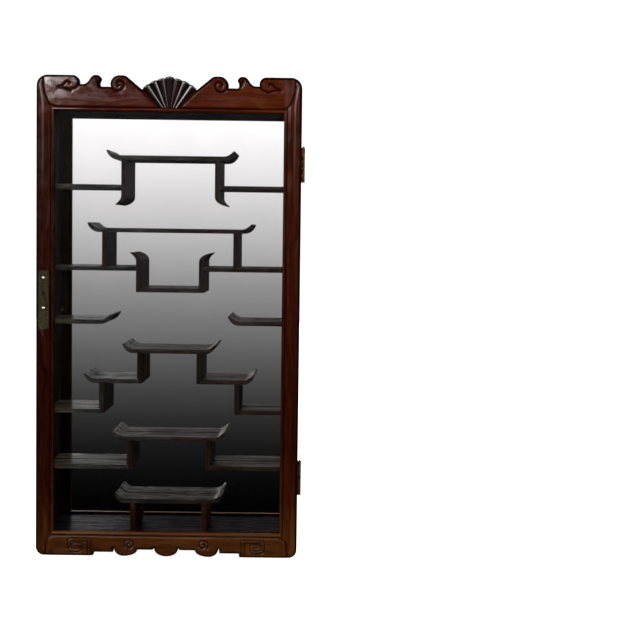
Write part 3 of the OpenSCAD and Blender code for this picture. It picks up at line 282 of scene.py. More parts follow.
def relief(p):
    """Depth of the frame's front at the points p, and the shade and highlight painted there.

    Hollow is the painted shade, from 0 to 1 in the grooves, the creases and along the outer rim, and under 0
    where a highlight is painted along the ridge.
    """
    q = np.abs(p * (1, 0)) + p * (0, 1)
    x, z = q[:, 0], q[:, 1]
    u, v = x - OPEN_X, np.maximum(z - OPEN_HIGH, OPEN_LOW - z)
    edge = distance(q, RIGHT_EDGE)

    # the stile's slope, ridge and cove
    ridge_in = profile(RIDGE, z)
    depth = np.where(edge < ridge_in, profile(SLOPE, edge * RIDGE_IN / ridge_in),
                     profile(COVE, COVE_END - (edge - ridge_in)))
    # painted shade in the crease between the cove and the bead
    hollow = 0.75 * (1 - smooth(0, 2.2, u - 5.2)) * (u > 5)

    # the raised fields of the rails
    on_field = np.zeros(len(q), bool)
    for line in (CREST_FIELD, APRON_FIELD):
        use = inside(q, line + [(line[0][0], line[-1][1])])
        on_field |= use
        d = near(q, line, 8)
        field = RAIL_DROP - FIELD_CROWN * smooth(0, 14, d) + STEP_DEEP * (1 - smooth(-0.4, 2.8, d))
        inward = 1 - np.clip(edge / EDGE_ROUND, 0, 1)
        round_edge = EDGE_ROUND * (1 - np.sqrt(np.clip(1 - inward ** 2, 0, 1)))
        depth = np.where(use, field + round_edge, depth)
        # painted shade along the field's border step, along its outer edge and along its line
        border = 0.8 * (1 - smooth(0, 2.6, d)) + 0.75 * (1 - smooth(0.4, 3.0, edge))
        hollow = np.maximum(np.where(use, border, hollow), 0.9 * bell(d, 0.9))

    # the bead along the opening
    m = np.maximum(u, v)
    on_bead = m < BEAD_W + 0.5
    depth = np.where(on_bead, profile(BEAD, np.clip(m, 0, None)), depth)
    # painted shade in the quirk at the bead's outer side
    hollow = np.where(on_bead, 0.9 * smooth(4.4, 5.3, m), hollow)

    # the carved lines, the eyes and the fret, with shade painted into the lines and the fret's grooves and
    # none on the eyes
    carve = np.zeros(len(q))
    for line, deep, half in LINES:
        cut = bell(near(q, line, 5), half)
        carve = np.maximum(carve, deep * cut)
        hollow = np.maximum(hollow, 0.95 * cut)
    for c, r, high in EYES:
        d = np.hypot(x - c[0], z - c[1])
        carve -= high * np.sqrt(np.clip(1 - (d / r) ** 2, 0, 1))
        hollow = np.where(d < r * 0.8, 0, hollow)
    d = near(q, FRET, 6)
    carve += FRET_GROOVE * bell(d - GROOVE_AT, 0.8) - FRET_RISE * (1 - smooth(0.9, 2.0, d))
    hollow = np.maximum(hollow, 0.9 * bell(d - GROOVE_AT, 0.9))
    low = (z < LOW_LINE_TOP) & (x < OPEN_X + 12)
    carve += np.where(low, LOW_LINE_DEEP * bell(edge - LOW_LINE_IN, 0.6), 0)

    # painted shade along the outer rim, and a highlight painted along the ridge toward the top
    hollow = np.maximum(hollow, 1 - smooth(0, 2.0, edge - profile(PAINTED_SHADE_RIM, z)))
    painted_highlight = bell(edge - ridge_in - 1.2, 1.1) * profile(PAINTED_RIDGE_HIGHLIGHT, z)
    hollow = np.where((painted_highlight > hollow) & ~on_bead & ~on_field, -painted_highlight, hollow)
    depth = depth + np.where(on_bead, 0, carve)
    return np.clip(depth, -0.6, 9), np.clip(hollow, -1, 1)


# ------------------------------------------------------------------ boards with relief

# Steps of the mesh along the outlines and between them. Between the two plain heights a stile
# has straight mouldings alone, and its mesh is coarse along Z.
FINE, GRID, COARSE = 0.9, 0.8, 6.0
PLAIN_LOW, PLAIN_HIGH = 60.0, 690.0
# Distances from the outer edge: of the rings of points round all boards, and of the columns
# down the plain part of a stile
RING_STEPS = (0.35, 0.9, 1.6, 2.4, 3.2)
EDGE_COLUMNS = (0.35, 0.8, 1.3, 1.9, 2.6, 3.4)
RING_GAP = 0.3       # the rings' points stay this far from a board's outline
RAIL_REACH = 185.2   # the rails' grid runs this far to both sides of the middle


def resample(ring, plain_middle=False):
    """Points along a closed outline: its corners, and more between them."""
    out = []
    ring = [np.array(p, float) for p in ring]
    for a, b in zip(ring, ring[1:] + ring[:1]):
        upright = plain_middle and abs(a[0] - b[0]) < 1e-6
        stops = [0.0, 1.0]
        if upright and abs(a[1] - b[1]) > 100:
            cut = [k for k in (PLAIN_LOW, PLAIN_HIGH) if min(a[1], b[1]) < k < max(a[1], b[1])]
            stops = sorted([0.0, 1.0] + [(k - a[1]) / (b[1] - a[1]) for k in cut])
        for s, t in zip(stops, stops[1:]):
            p, q = a + (b - a) * s, a + (b - a) * t
            middle = PLAIN_LOW < (p[1] + q[1]) / 2 < PLAIN_HIGH
            step = COARSE if upright and middle else FINE
            n = max(1, int(math.ceil(np.hypot(*(q - p)) / step)))
            out += [p + (q - p) * k / n for k in range(n)]
    return tidy_line(out)


CDT_GAP = 1e-4       # the triangulation takes points this close for one


def triangles(rings, inner):
    """A triangle mesh of the plane that keeps every edge of the rings."""
    points, edges = [], []
    for ring in rings:
        first = len(points)
        points += [Vector(p) for p in ring]
        edges += [(first + k, first + (k + 1) % len(ring)) for k in range(len(ring))]
    points += [Vector(p) for p in inner]
    found = delaunay_2d_cdt(points, edges, [], 0, CDT_GAP)
    tris = [tuple(f) for f in found[2] if len(f) == 3]
    return np.array([tuple(v) for v in found[0]]), np.array(tris)


def side_of(ring, holes, flats, inner):
    """One side of a board: points, triangles, and which flat each triangle lies in, or -1."""
    points, tris = triangles([ring] + holes + [f[0] for f in flats], inner)
    centre = points[tris].mean(1)
    keep = inside(centre, ring)
    for hole in holes:
        keep &= ~inside(centre, hole)
    tris, centre = tris[keep], centre[keep]
    level = np.full(len(tris), -1)
    for k, (outline, _) in enumerate(flats):
        level[inside(centre, outline)] = k
    return points, tris, level


# Painted shade on a board's back and in its flat recesses, as the attribute "hollow"
BACK_SHADE, FLAT_SHADE = 0.2, 0.6
SAME_POINT = 0.002   # points of a finished mesh that are this close become one


def board(name, ring, inner, front_flats, back_flats, holes=()):
    """A board with relief on its front, and flat recesses in its front and its back.

    Each flat is (outline, depth), and a hole goes right through.
    """
    verts, faces, shade, made, rims = [], [], [], {}, []
    for front, flats, more in ((True, front_flats, inner), (False, back_flats, [])):
        points, tris, level = side_of(ring, list(holes), flats, more)
        if front:
            deep, hollow = relief(points)
        else:
            deep, hollow = np.full(len(points), DOOR_T), np.full(len(points), BACK_SHADE)

        def vertex(i, k):
            key = (front, i, k)
            if key not in made:
                made[key] = len(verts)
                depth = deep[i] if k < 0 else flats[k][1]
                verts.append((points[i][0] * MM, (FRONT_Y + depth) * MM, (points[i][1] - FEET_Z) * MM))
                shade.append(hollow[i] if k < 0 else FLAT_SHADE)
            return made[key]

        sides = {}
        for t, k in zip(tris, level):
            corners = [vertex(i, k) for i in t]
            faces.append(corners if front else corners[::-1])
            for a, b in ((t[0], t[1]), (t[1], t[2]), (t[2], t[0])):
                sides.setdefault((min(a, b), max(a, b)), []).append(k)
        rim = {}
        for (a, b), ks in sides.items():
            if len(ks) == 1:
                ends = [tuple(np.round(points[i], 2)) for i in (a, b)]
                rim[frozenset(ends)] = (vertex(a, ks[0]), vertex(b, ks[0]), ends[0])
            elif ks[0] != ks[1]:
                faces.append([vertex(a, ks[0]), vertex(b, ks[0]), vertex(b, ks[1]), vertex(a, ks[1])])
        rims.append(rim)
    # the outer edges and the holes' walls join the front's rim to the back's
    for ends, (a, b, start) in rims[0].items():
        c, d, other = rims[1][ends]
        faces.append([a, b, d, c] if start == other else [a, b, c, d])
    return solid(name, verts, faces, shade)


def solid(name, verts, faces, shade, sharp=38):
    """A mesh object with outward faces, smooth but for edges sharper than an angle in degrees."""
    mesh = bpy.data.meshes.new(name)
    mesh.from_pydata([Vector(v) for v in verts], [], faces)
    bm = bmesh.new()
    bm.from_mesh(mesh)
    # painted shade and highlight, kept per point as the attribute "hollow"
    hollow = bm.verts.layers.float.new("hollow")
    for vertex, value in zip(bm.verts, shade):
        vertex[hollow] = float(value)
    bmesh.ops.remove_doubles(bm, verts=bm.verts, dist=SAME_POINT * MM)
    bmesh.ops.recalc_face_normals(bm, faces=bm.faces)
    for f in bm.faces:
        f.smooth = True
    for e in bm.edges:
        e.smooth = len(e.link_faces) == 2 and e.calc_face_angle(0) < math.radians(sharp)
    bm.to_mesh(mesh)
    bm.free()
    piece = bpy.data.objects.new(name, mesh)
    bpy.context.scene.collection.objects.link(piece)
    return piece


def edge_rings(ring):
    """Points in rings along the door's outer edge that lie within a board's outline."""
    edge = np.array(resample(DOOR_EDGE))
    step = np.roll(edge, -1, 0) - edge
    edge, step = edge[np.any(step != 0, 1)], step[np.any(step != 0, 1)]
    inward = np.stack([step[:, 1], -step[:, 0]], 1) / np.hypot(*step.T)[:, None]
    rings = []
    for k in RING_STEPS:
        p = edge + step / 2 + inward * k
        rings.append(p[(distance(p, DOOR_EDGE, True) > 0.93 * k) & inside(p, DOOR_EDGE)])
    p = np.concatenate(rings)
    return p[inside(p, ring) & (distance(p, ring, True) > RING_GAP)]


def grid(xs, zs, ring, gap=0.4):
    """Grid points inside an outline, clear of its edges and of the rings along the outer edge."""
    gx, gz = np.meshgrid(xs, zs)
    p = np.stack([gx.ravel(), gz.ravel()], 1)
    p = p[inside(p, ring)]
    p = p[distance(p, ring, True) > gap]
    return p[distance(p, DOOR_EDGE, True) > RING_STEPS[-1] + 0.5]


def rail(name, ring, z0, z1, front_flats, back_flats):
    """The crest or the apron: a board with carving from the height z0 to z1."""
    ring = resample(ring)
    inner = grid(np.arange(-RAIL_REACH, RAIL_REACH + 0.1, GRID), np.arange(z0, z1, GRID), ring)
    return board(name, ring, np.concatenate([inner, edge_rings(ring)]), front_flats, back_flats)


def stile(name, side, marks, front_flats, back_flats, holes=()):
    """The stile on the left (side -1) or right (1), with corners at the marks on its outer edge."""
    outer = TOP_CORNER + marks + FOOT_CORNER
    ring = tidy_line(outer + [(OPEN_X, 0)] + EAR_LOW[::-1] + EAR_TOP[::-1] + [(OPEN_X, DOOR_H)])
    if side < 0:
        ring = [p * (-1, 1) for p in ring[::-1]]
    ring = resample(ring, True)
    # columns down the plain part, close where the bead, the ridge and the outer edge turn
    across = np.concatenate([np.arange(0.35, 5.3, 0.45), [5.15, 5.45, 5.7], np.arange(6.4, 18.2, 1.0),
                             [18.4, 18.8, 19.2, 19.8], np.arange(20.8, 25, 1.0),
                             np.arange(25.2, 27.9, 0.45)])
    plain = np.arange(PLAIN_LOW + 2, PLAIN_HIGH - 1, COARSE)
    ends = np.concatenate([np.arange(0.6, PLAIN_LOW, GRID), np.arange(PLAIN_HIGH, DOOR_H - 0.2, GRID)])
    rings = edge_rings(ring)
    inner = [grid(side * (OPEN_X + across), plain, ring, 0.25),
             grid(side * np.arange(OPEN_X + 0.5, HALF_W, GRID), ends, ring, 0.35),
             rings[(rings[:, 1] < PLAIN_LOW) | (rings[:, 1] > PLAIN_HIGH)]]
    for a in EDGE_COLUMNS:
        inner.append(np.stack([np.full(len(plain), side * (HALF_W - a)), plain], 1))
    return board(name, ring, np.concatenate(inner), front_flats, back_flats, holes)


def box_ring(x0, x1, z0, z1):
    return [np.array(p, float) for p in ((x0, z0), (x1, z0), (x1, z1), (x0, z1))]


RABBET = (OPEN_LOW - GLASS_LAP, OPEN_HIGH + GLASS_LAP)

# the crest, with the shell's seat, and the apron
crest_ring = CREST + EAR_TOP + flipped(CREST[1:] + EAR_TOP)
seat = [np.array(p, float) for p in (
    (-SEAT_X, SEAT_Z), (SEAT_X, SEAT_Z), (SEAT_FOOT_X, SEAT_FOOT_Z), (-SEAT_FOOT_X, SEAT_FOOT_Z))]
crest = rail("crest_rail_carved", crest_ring, OPEN_HIGH + 0.4, DOOR_H,
             [(seat, RIB_H + GROUND_T + SEAT_GAP)],
             [(box_ring(-OPEN_X, OPEN_X, OPEN_HIGH, RABBET[1]), GLASS_IN)])
apron_ring = APRON + EAR_LOW[::-1] + flipped(APRON[1:] + EAR_LOW[::-1])
apron = rail("apron_rail_carved", apron_ring, 0.6, OPEN_LOW, [],
             [(box_ring(-OPEN_X, OPEN_X, RABBET[0], OPEN_LOW), GLASS_IN)])

# the right stile, with the seats of the hinges' leaves
HINGE_Z, HINGE_HALF, LEAF_X, LEAF_DEEP = (624.5, 127.0), 27.35, 196.9, 14.5
leaf_marks = [(HALF_W, z + s * HINGE_HALF) for z in HINGE_Z for s in (1, -1)]
leaf_flats = [(box_ring(LEAF_X, HALF_W, z - HINGE_HALF, z + HINGE_HALF), LEAF_DEEP)
              for z in HINGE_Z]
right = stile("stile_right_carved", 1, leaf_marks, [],
              [(box_ring(OPEN_X, OPEN_X + GLASS_LAP, *RABBET), GLASS_IN)] + leaf_flats)

# the left stile, with the seat of the lock plate, the keyhole, and behind them the seats of
# the lock's case and of its flange
LOCK_X, PLATE_Z = -195.6, 407.4
PLATE_HALF_W, PLATE_HALF_L, PLATE_T = 8.1, 45.9, 1.2
KEY_Z, KEY_R, KEY_TAIL, KEY_TAIL_W = PLATE_Z + 10.7, 3.0, 7.0, 2.0
CASE_HALF_W, CASE_HALF_L, CASE_DEEP = 9.1, 31.1, 11.1
FLANGE_REACH, FLANGE_DEEP = 8.0, 1.3


def lock_ring(half_w, z, half_l):
    return box_ring(LOCK_X - half_w, LOCK_X + half_w, z - half_l, z + half_l)


keyhole = arc((LOCK_X, KEY_Z), KEY_R, -40, 220, 16) + [
    np.array([LOCK_X + x, KEY_Z - KEY_TAIL]) for x in (-KEY_TAIL_W, KEY_TAIL_W)]
left = stile("stile_left_carved", -1, [],
             [(lock_ring(PLATE_HALF_W, PLATE_Z, PLATE_HALF_L), PLATE_T)],
             [(box_ring(-OPEN_X - GLASS_LAP, -OPEN_X, *RABBET), GLASS_IN),
              (lock_ring(CASE_HALF_W, KEY_Z, CASE_HALF_L + FLANGE_REACH), DOOR_T - FLANGE_DEEP),
              (lock_ring(CASE_HALF_W, KEY_Z, CASE_HALF_L), DOOR_T - CASE_DEEP)],
             [keyhole])


# ------------------------------------------------------------------ the fan shell

def fan(name):
    """The shell: ribs that spread from a point below the opening's edge, round at their ends."""
    ground = RIB_H + GROUND_T
    columns, rows = 168, 26

    def near_ribs(a):
        return {round(a / RIB_STEP - 0.01), round(a / RIB_STEP + 0.01)}

    def full(i):
        return SHELL_R - RIB_END + (MIDDLE_RISE if i == 0 else 0)

    def rib_reach(d, f):
        a = (math.sin(d) / RIB_W) ** 2 + (math.cos(d) / RIB_END) ** 2
        b = f * math.cos(d) / RIB_END ** 2
        return (b + math.sqrt(max(0, b * b - a * ((f / RIB_END) ** 2 - 1)))) / a

    def reach(a):
        return min(rib_reach(math.radians(a - i * RIB_STEP), full(i)) for i in near_ribs(a))

    def height(a, r):
        best = 99
        for i in near_ribs(a):
            d, f = math.radians(a - i * RIB_STEP), full(i)
            size, out = min(1, r / f), max(0, r * math.cos(d) - f) / RIB_END
            across = r * math.sin(d) / (RIB_W * size)
            best = min(best, RIB_H * size * math.sqrt(max(0, 1 - across ** 2 - out ** 2)))
        return best

    verts, faces, shade = [], [], []
    angles = [FAN_ANGLE * (2 * j / columns - 1) for j in range(columns + 1)]
    for a in angles:
        t = math.radians(a)
        base = (SEAT_FOOT_Z - EYE_Z) / math.cos(t)
        for k in range(rows + 1):
            r = base + (reach(a) - base) * math.sin(math.pi / 2 * k / rows)
            h = 0 if k == rows else height(a, r)
            whole = RIB_H * min(1, r / full(0))
            verts.append((r * math.sin(t), RIB_H - h, EYE_Z + r * math.cos(t)))
            # painted shade in the grooves between the ribs, where a rib runs low
            shade.append(1 - smooth(0.3, 0.8, np.float64(h / whole)))
    step = rows + 1
    for j in range(columns):
        for k in range(rows):
            n = j * step + k
            faces.append((n, n + 1, n + step + 1, n + step))
    # the ground behind the ribs and the seat's corners carry painted shade
    behind = len(verts)
    for j in range(columns + 1):
        x, _, z = verts[j * step + rows]
        verts.append((x, ground, z))
        shade.append(0.8)
    for j in range(columns):
        n = j * step + rows
        faces.append((n, behind + j, behind + j + 1, n + step))
    foot = len(verts)
    for a in (FAN_ANGLE, -FAN_ANGLE):
        t = math.radians(a)
        verts.append(((SEAT_FOOT_Z - EYE_Z) * math.tan(t), ground, SEAT_FOOT_Z))
        shade.append(0.8)
    last = columns * step
    faces.append(tuple(behind + j for j in range(columns + 1)) + (foot, foot + 1))
    faces.append(tuple(j * step for j in range(columns + 1)) + (foot, foot + 1))
    faces.append(tuple(range(rows + 1)) + (behind, foot + 1))
    faces.append(tuple(last + k for k in range(rows + 1)) + (behind + columns, foot))
    verts = [(x * MM, (FRONT_Y + y) * MM, (z - FEET_Z) * MM) for x, y, z in verts]
    return solid(name, verts, faces, shade, 50)


shell = fan("shell_carved")


# ------------------------------------------------------------------ materials

class Nodes:
    """Builds the node tree of a material or of the world."""

    def __init__(self, owner):
        owner.use_nodes = True
        self.owner = owner
        self.tree = owner.node_tree
        self.tree.nodes.clear()

    def add(self, kind, **settings):
        node = self.tree.nodes.new(kind)
        for key, value in settings.items():
            if key.startswith("i_"):
                self.put(node.inputs[key[2:].replace("_", " ")], value)
            else:
                setattr(node, key, value)
        return node

    def put(self, socket, value):
        if isinstance(value, bpy.types.NodeSocket):
            self.tree.links.new(value, socket)
        else:
            socket.default_value = value

    def coords(self, kind="Object"):
        return self.add("ShaderNodeTexCoord").outputs[kind]

    def split(self, vector):
        node = self.add("ShaderNodeSeparateXYZ", i_Vector=vector)
        return node.outputs

    def scaled(self, vector, scale, offset=(0, 0, 0)):
        node = self.add("ShaderNodeMapping", i_Vector=vector, i_Scale=scale, i_Location=offset)
        return node.outputs[0]

    def noise(self, vector, scale, detail=4, rough=0.5):
        node = self.add("ShaderNodeTexNoise", i_Vector=vector, i_Scale=scale, i_Detail=detail,
                        i_Roughness=rough)
        return node.outputs["Fac"]

    def ramp(self, fac, stops):
        node = self.add("ShaderNodeValToRGB", i_Fac=fac)
        ramp = node.color_ramp
        while len(ramp.elements) < len(stops):
            ramp.elements.new(0.5)
        for element, (pos, colour) in zip(ramp.elements, stops):
            element.position = pos
            element.color = (*colour, 1)
        return node.outputs[0]

    def tint(self, fac, stops):
        """Factors that may be over 1, along a ramp."""
        top = max(max(c) for _, c in stops)
        colour = self.ramp(fac, [(p, tuple(k / top for k in c)) for p, c in stops])
        node = self.add("ShaderNodeVectorMath", operation="SCALE", i_Vector=colour, i_Scale=top)
        return node.outputs[0]

    def math(self, op, a, b, clamp=False):
        node = self.add("ShaderNodeMath", operation=op, use_clamp=clamp)
        for socket, value in zip(node.inputs, (a, b)):
            self.put(socket, value)
        return node.outputs[0]

    def span(self, value, low, high, to_low, to_high):
        node = self.add("ShaderNodeMapRange")
        for socket, v in zip(node.inputs, (value, low, high, to_low, to_high)):
            self.put(socket, v)
        return node.outputs[0]

    def mix(self, fac, a, b, blend="MIX"):
        node = self.add("ShaderNodeMix", data_type="RGBA", blend_type=blend)
        self.put(node.inputs[0], fac)
        self.put(node.inputs[6], a if isinstance(a, bpy.types.NodeSocket) else (*a, 1))
        self.put(node.inputs[7], b if isinstance(b, bpy.types.NodeSocket) else (*b, 1))
        return node.outputs[2]

    def bump(self, height, distance, strength):
        node = self.add("ShaderNodeBump", i_Height=height, i_Distance=distance, i_Strength=strength)
        return node.outputs[0]

    def blend(self, fac, a, b):
        """One shader over to another."""
        node = self.add("ShaderNodeMixShader")
        for socket, value in zip(node.inputs, (fac, a, b)):
            self.put(socket, value)
        return node.outputs[0]

    def finish(self, shader, kind="Material"):
        self.add("ShaderNodeOutput" + kind, i_Surface=shader)
        return self.owner

    def principled(self, **sockets):
        node = self.add("ShaderNodeBsdfPrincipled")
        for key, value in sockets.items():
            self.put(node.inputs[key.replace("_", " ")], value)
        return node.outputs[0]


def material(name):
    return Nodes(bpy.data.materials.new(name))


def share(stops):
    """Stops given in mm, from 0 to 1 between the first and the last, with those two in metres."""
    low, high = stops[0][0], stops[-1][0]
    return low * MM, high * MM, [((p - low) / (high - low), value) for p, value in stops]


ALONG, PORES_ALONG, PORES_ACROSS = 7.0, 45.0, 900.0     # scales of the grain and of the pores
FIGURE_SHARE = 0.62                                     # the fine figure's part in the tone
WARP = 0.03                                             # how far the grain wanders, in metres
WOOD_BUMP = 0.00012


def wood(name, grain, dark, mid, light, seed, coat, rough=(0.3, 0.45), carved=False,
         tone_x=None, tone_z=None, wax_x=None, wax_z=None, patchy=0.0, dim_y=None, across=150.0):
    """Polished wood whose grain runs along axis 0, 1 or 2.

    Its gloss comes from the coat alone. The tone stops multiply the colour and the wax stops the
    coat, by X or Z in mm from the frame's origin. Patchy clouds the coat, and dim_y paints shade
    into the wood toward its second depth and past it. Carved wood has shade painted into its
    grooves, creases and outer rim, and a highlight painted along its ridge.
    """
    n = material(name)
    base = n.coords()
    scale = [across] * 3
    scale[grain] = ALONG
    warp = n.noise(n.scaled(base, (9, 9, 9), (seed, seed, seed)), 1.0, 3)
    shift = n.add("ShaderNodeVectorMath", operation="MULTIPLY_ADD")
    for socket, value in zip(shift.inputs, (warp, (WARP, WARP, WARP), base)):
        n.put(socket, value)
    bent = shift.outputs[0]
    figure = n.noise(n.scaled(bent, scale, (seed * 3, seed, seed * 2)), 1.0, 7, 0.62)
    broad = n.noise(n.scaled(bent, [s / 5 for s in scale], (seed, 2 * seed, 0)), 1.0, 3)
    fine_scale = [PORES_ACROSS] * 3
    fine_scale[grain] = PORES_ALONG
    pores = n.noise(n.scaled(base, fine_scale), 1.0, 3, 0.7)
    tone = n.math("ADD", n.math("MULTIPLY", figure, FIGURE_SHARE),
                  n.math("MULTIPLY", broad, 1 - FIGURE_SHARE))
    colour = n.ramp(tone, [(0.34, dark), (0.5, mid), (0.68, light)])
    pits = n.span(pores, 0.56, 0.7, 0, 0.5)
    colour = n.mix(pits, colour, tuple(c * 0.35 for c in dark))
    place = n.split(base)
    for axis, stops in (("X", tone_x), ("Z", tone_z)):
        if stops:
            low, high, shares = share(stops)
            tint = n.tint(n.span(place[axis], low, high, 0, 1), shares)
            colour = n.mix(1.0, colour, tint, "MULTIPLY")
    if carved:
        hollow = n.add("ShaderNodeAttribute", attribute_name="hollow").outputs["Fac"]
        # a highlight painted on the ridge, where hollow is under 0
        colour = n.mix(n.span(hollow, 0, -1, 0, 0.6), colour, (0.4, 0.27, 0.26))
        hollow = n.span(hollow, 0, 1, 0, 1)
        # painted shade in the grooves, the creases and along the rim
        colour = n.mix(n.math("MULTIPLY", hollow, 0.93), colour, tuple(c * 0.1 for c in dark))
        shine = n.span(hollow, 0, 1, 0, 0.25)
        roughness = n.math("ADD", n.span(figure, 0.3, 0.7, rough[0], rough[1]), shine)
    else:
        roughness = n.span(figure, 0.3, 0.7, rough[0], rough[1])
    height = n.math("ADD", n.math("MULTIPLY", figure, 0.5), n.math("MULTIPLY", pits, -1.0))
    wax = n.math("MAXIMUM", n.span(figure, 0.36, 0.64, coat[0], coat[1]), 0.0)
    if patchy:
        cloud = n.noise(n.scaled(base, (40, 40, 55), (seed, 0, seed)), 1.0, 3, 0.6)
        wax = n.math("MULTIPLY", wax, n.span(cloud, 0.42, 0.58, 1 - patchy, 1 + patchy))
    if dim_y:
        # painted shade toward the back: darker colour and less coat from the first depth on
        dim = n.span(place["Y"], dim_y[0] * MM, dim_y[1] * MM, 1, 0.25)
        wax = n.math("MULTIPLY", wax, dim)
        colour = n.mix(dim, tuple(c * 0.3 for c in dark), colour)
    for axis, stops in (("X", wax_x), ("Z", wax_z)):
        if stops:
            low, high, shares = share(stops)
            top = max(k for _, k in stops)
            level = n.ramp(n.span(place[axis], low, high, 0, 1), [(p, (k / top,) * 3) for p, k in shares])
            wax = n.math("MULTIPLY", wax, n.math("MULTIPLY", level, top))
    if carved:
        # less coat where shade is painted
        wax = n.math("MULTIPLY", wax, n.math("SUBTRACT", 1.0, n.math("MULTIPLY", hollow, 0.9)))
    shader = n.principled(Base_Color=colour, Roughness=0.8, Coat_Weight=wax, Coat_Roughness=roughness,
                          Specular_IOR_Level=0.0, Normal=n.bump(height, WOOD_BUMP, 0.55),
                          Coat_Normal=n.bump(height, WOOD_BUMP, 0.08))
    return n.finish(shader)


def metal(name, dark, light, rough=(0.25, 0.45), metallic=0.95, spots=260.0):
    """Worn metal with cloudy tarnish and fine scratches."""
    n = material(name)
    base = n.coords()
    cloud = n.noise(base, spots, 5, 0.65)
    scratch = n.noise(n.scaled(base, (1800, 1800, 160)), 1.0, 2)
    colour = n.ramp(cloud, [(0.36, dark), (0.62, light)])
    roughness = n.span(cloud, 0.3, 0.7, rough[1], rough[0])
    height = n.math("ADD", cloud, n.math("MULTIPLY", scratch, 0.4))
    return n.finish(n.principled(Base_Color=colour, Metallic=metallic, Roughness=roughness,
                                 Normal=n.bump(height, 0.00006, 0.6)))


def plate_metal(name):
    """The lock plate: aged brass, stippled over its upper part."""
    n = material(name)
    base = n.coords()
    cloud = n.noise(base, 420, 6, 0.7)
    stipple = n.add("ShaderNodeTexVoronoi", i_Vector=base, i_Scale=900.0)
    stipple_end = PLATE_Z - 22 - FEET_Z
    upper = n.span(n.split(base)["Z"], stipple_end * MM, (stipple_end + 1) * MM, 0, 1)
    pock = n.math("MULTIPLY", n.span(stipple.outputs["Distance"], 0.1, 0.5, 1, 0), upper)
    colour = n.ramp(n.math("ADD", cloud, n.math("MULTIPLY", pock, -0.12)), [
        (0.34, (0.0035, 0.0023, 0.0006)), (0.52, (0.0135, 0.0095, 0.002)), (0.7, (0.085, 0.065, 0.02))])
    roughness = n.span(cloud, 0.3, 0.7, 0.6, 0.32)
    height = n.math("ADD", n.math("MULTIPLY", pock, -1.0), n.math("MULTIPLY", cloud, 0.6))
    return n.finish(n.principled(Base_Color=colour, Metallic=0.85, Roughness=roughness,
                                 Normal=n.bump(height, 0.00018, 0.8)))


def mirror_glass(name):
    n = material(name)
    haze = n.noise(n.coords(), 14, 4)
    colour = n.mix(n.span(haze, 0.3, 0.7, 0, 1), (0.87, 0.87, 0.875), (0.9, 0.9, 0.9))
    roughness = n.span(haze, 0.3, 0.75, 0.0, 0.012)
    return n.finish(n.principled(Base_Color=colour, Metallic=1.0, Roughness=roughness))


def pane_glass(name):
    """Thin clear glass: what is behind shows through, with a faint reflection."""
    n = material(name)
    smear = n.noise(n.coords(), 9, 4)
    fresnel = n.add("ShaderNodeFresnel", i_IOR=1.2).outputs[0]
    factor = n.math("MULTIPLY", fresnel, n.span(smear, 0.35, 0.65, 0.3, 0.5), clamp=True)
    clear = n.add("ShaderNodeBsdfTransparent", i_Color=(0.974, 0.97, 0.971, 1)).outputs[0]
    gloss = n.add("ShaderNodeBsdfGlossy", i_Color=(1, 1, 1, 1), i_Roughness=0.02).outputs[0]
    return n.finish(n.blend(factor, clear, gloss))


def shades(dark, mid, light):
    return dict(dark=dark, mid=mid, light=light)


# The crest's shades, and more the apron's, are lighter and more orange than the stiles': painted light, as
# the rails are lit more.
RED = shades((0.011, 0.0017, 0.0006), (0.026, 0.0042, 0.0012), (0.05, 0.0105, 0.0032))
CREST_RED = shades((0.019, 0.0026, 0.0008), (0.042, 0.0058, 0.0016), (0.076, 0.013, 0.0034))
ORANGE = shades((0.032, 0.0085, 0.0014), (0.063, 0.0185, 0.0032), (0.1, 0.035, 0.0072))
SHELL_BROWN = shades((0.008, 0.0022, 0.002), (0.015, 0.0046, 0.0044), (0.027, 0.009, 0.0085))
DARK = shades((0.003, 0.0021, 0.002), (0.006, 0.0043, 0.0041), (0.011, 0.008, 0.0076))
GREY = shades((0.0045, 0.0032, 0.0025), (0.0095, 0.007, 0.0056), (0.0175, 0.0132, 0.0108))
PALE = shades((0.09, 0.05, 0.028), (0.16, 0.095, 0.055), (0.26, 0.17, 0.1))

# The stiles' tone stops paint light: lighter toward the right and toward the top and the feet, darker in the
# middle.
stile_wood = wood(
    "door_wood_upright", 2, **RED, seed=1.3, carved=True, rough=(0.1, 0.18), coat=(0.06, 0.17), patchy=0.6,
    tone_x=[(-210, (0.8, 0.72, 0.7)), (210, (1.3, 1.3, 1.1))],
    tone_z=[(-735, (2.0, 3.7, 3.0)), (-700, (1.9, 3.3, 2.6)), (-650, (0.95, 1.05, 1.0)),
            (-560, (0.72, 0.6, 0.65)), (-400, (0.78, 0.68, 0.75)), (-150, (1.05, 1.1, 1.3)),
            (-60, (1.2, 1.25, 1.5)), (-30, (2.0, 2.0, 2.6)), (25, (2.1, 2.1, 2.8))],
    wax_x=[(-210, 1.0), (210, 0.5)], wax_z=[(-735, 0.8), (-50, 1.2), (-20, 3.0), (25, 5.0)])
# The crest's tone stops paint light: bluer toward the left, warmer and more orange toward the right.
crest_wood = wood(
    "door_wood_crest", 0, **CREST_RED, seed=4.1, carved=True, rough=(0.1, 0.18), coat=(0.5, 0.85), patchy=0.6,
    tone_x=[(-210, (1, 1.0, 1.3)), (-60, (1, 1.05, 1.3)), (60, (1.1, 1.0, 0.9)),
            (150, (1.35, 1.5, 0.7)), (210, (1.15, 0.9, 0.7))],
    wax_x=[(-210, 1.0), (-162, 0.9), (-138, 0.4), (-60, 0.3), (60, 0.16), (210, 0.16)])
apron_wood = wood("door_wood_apron", 0, **ORANGE, seed=7.7, carved=True, rough=(0.14, 0.26),
                  coat=(0.15, 0.35))
shell_wood = wood("door_wood_shell", 2, **SHELL_BROWN, seed=2.9, carved=True, rough=(0.1, 0.18),
                  coat=(0.9, 1.0))
bead_wood = wood("door_wood_bead", 2, **RED, seed=9.2, rough=(0.35, 0.5), coat=(0.01, 0.04))

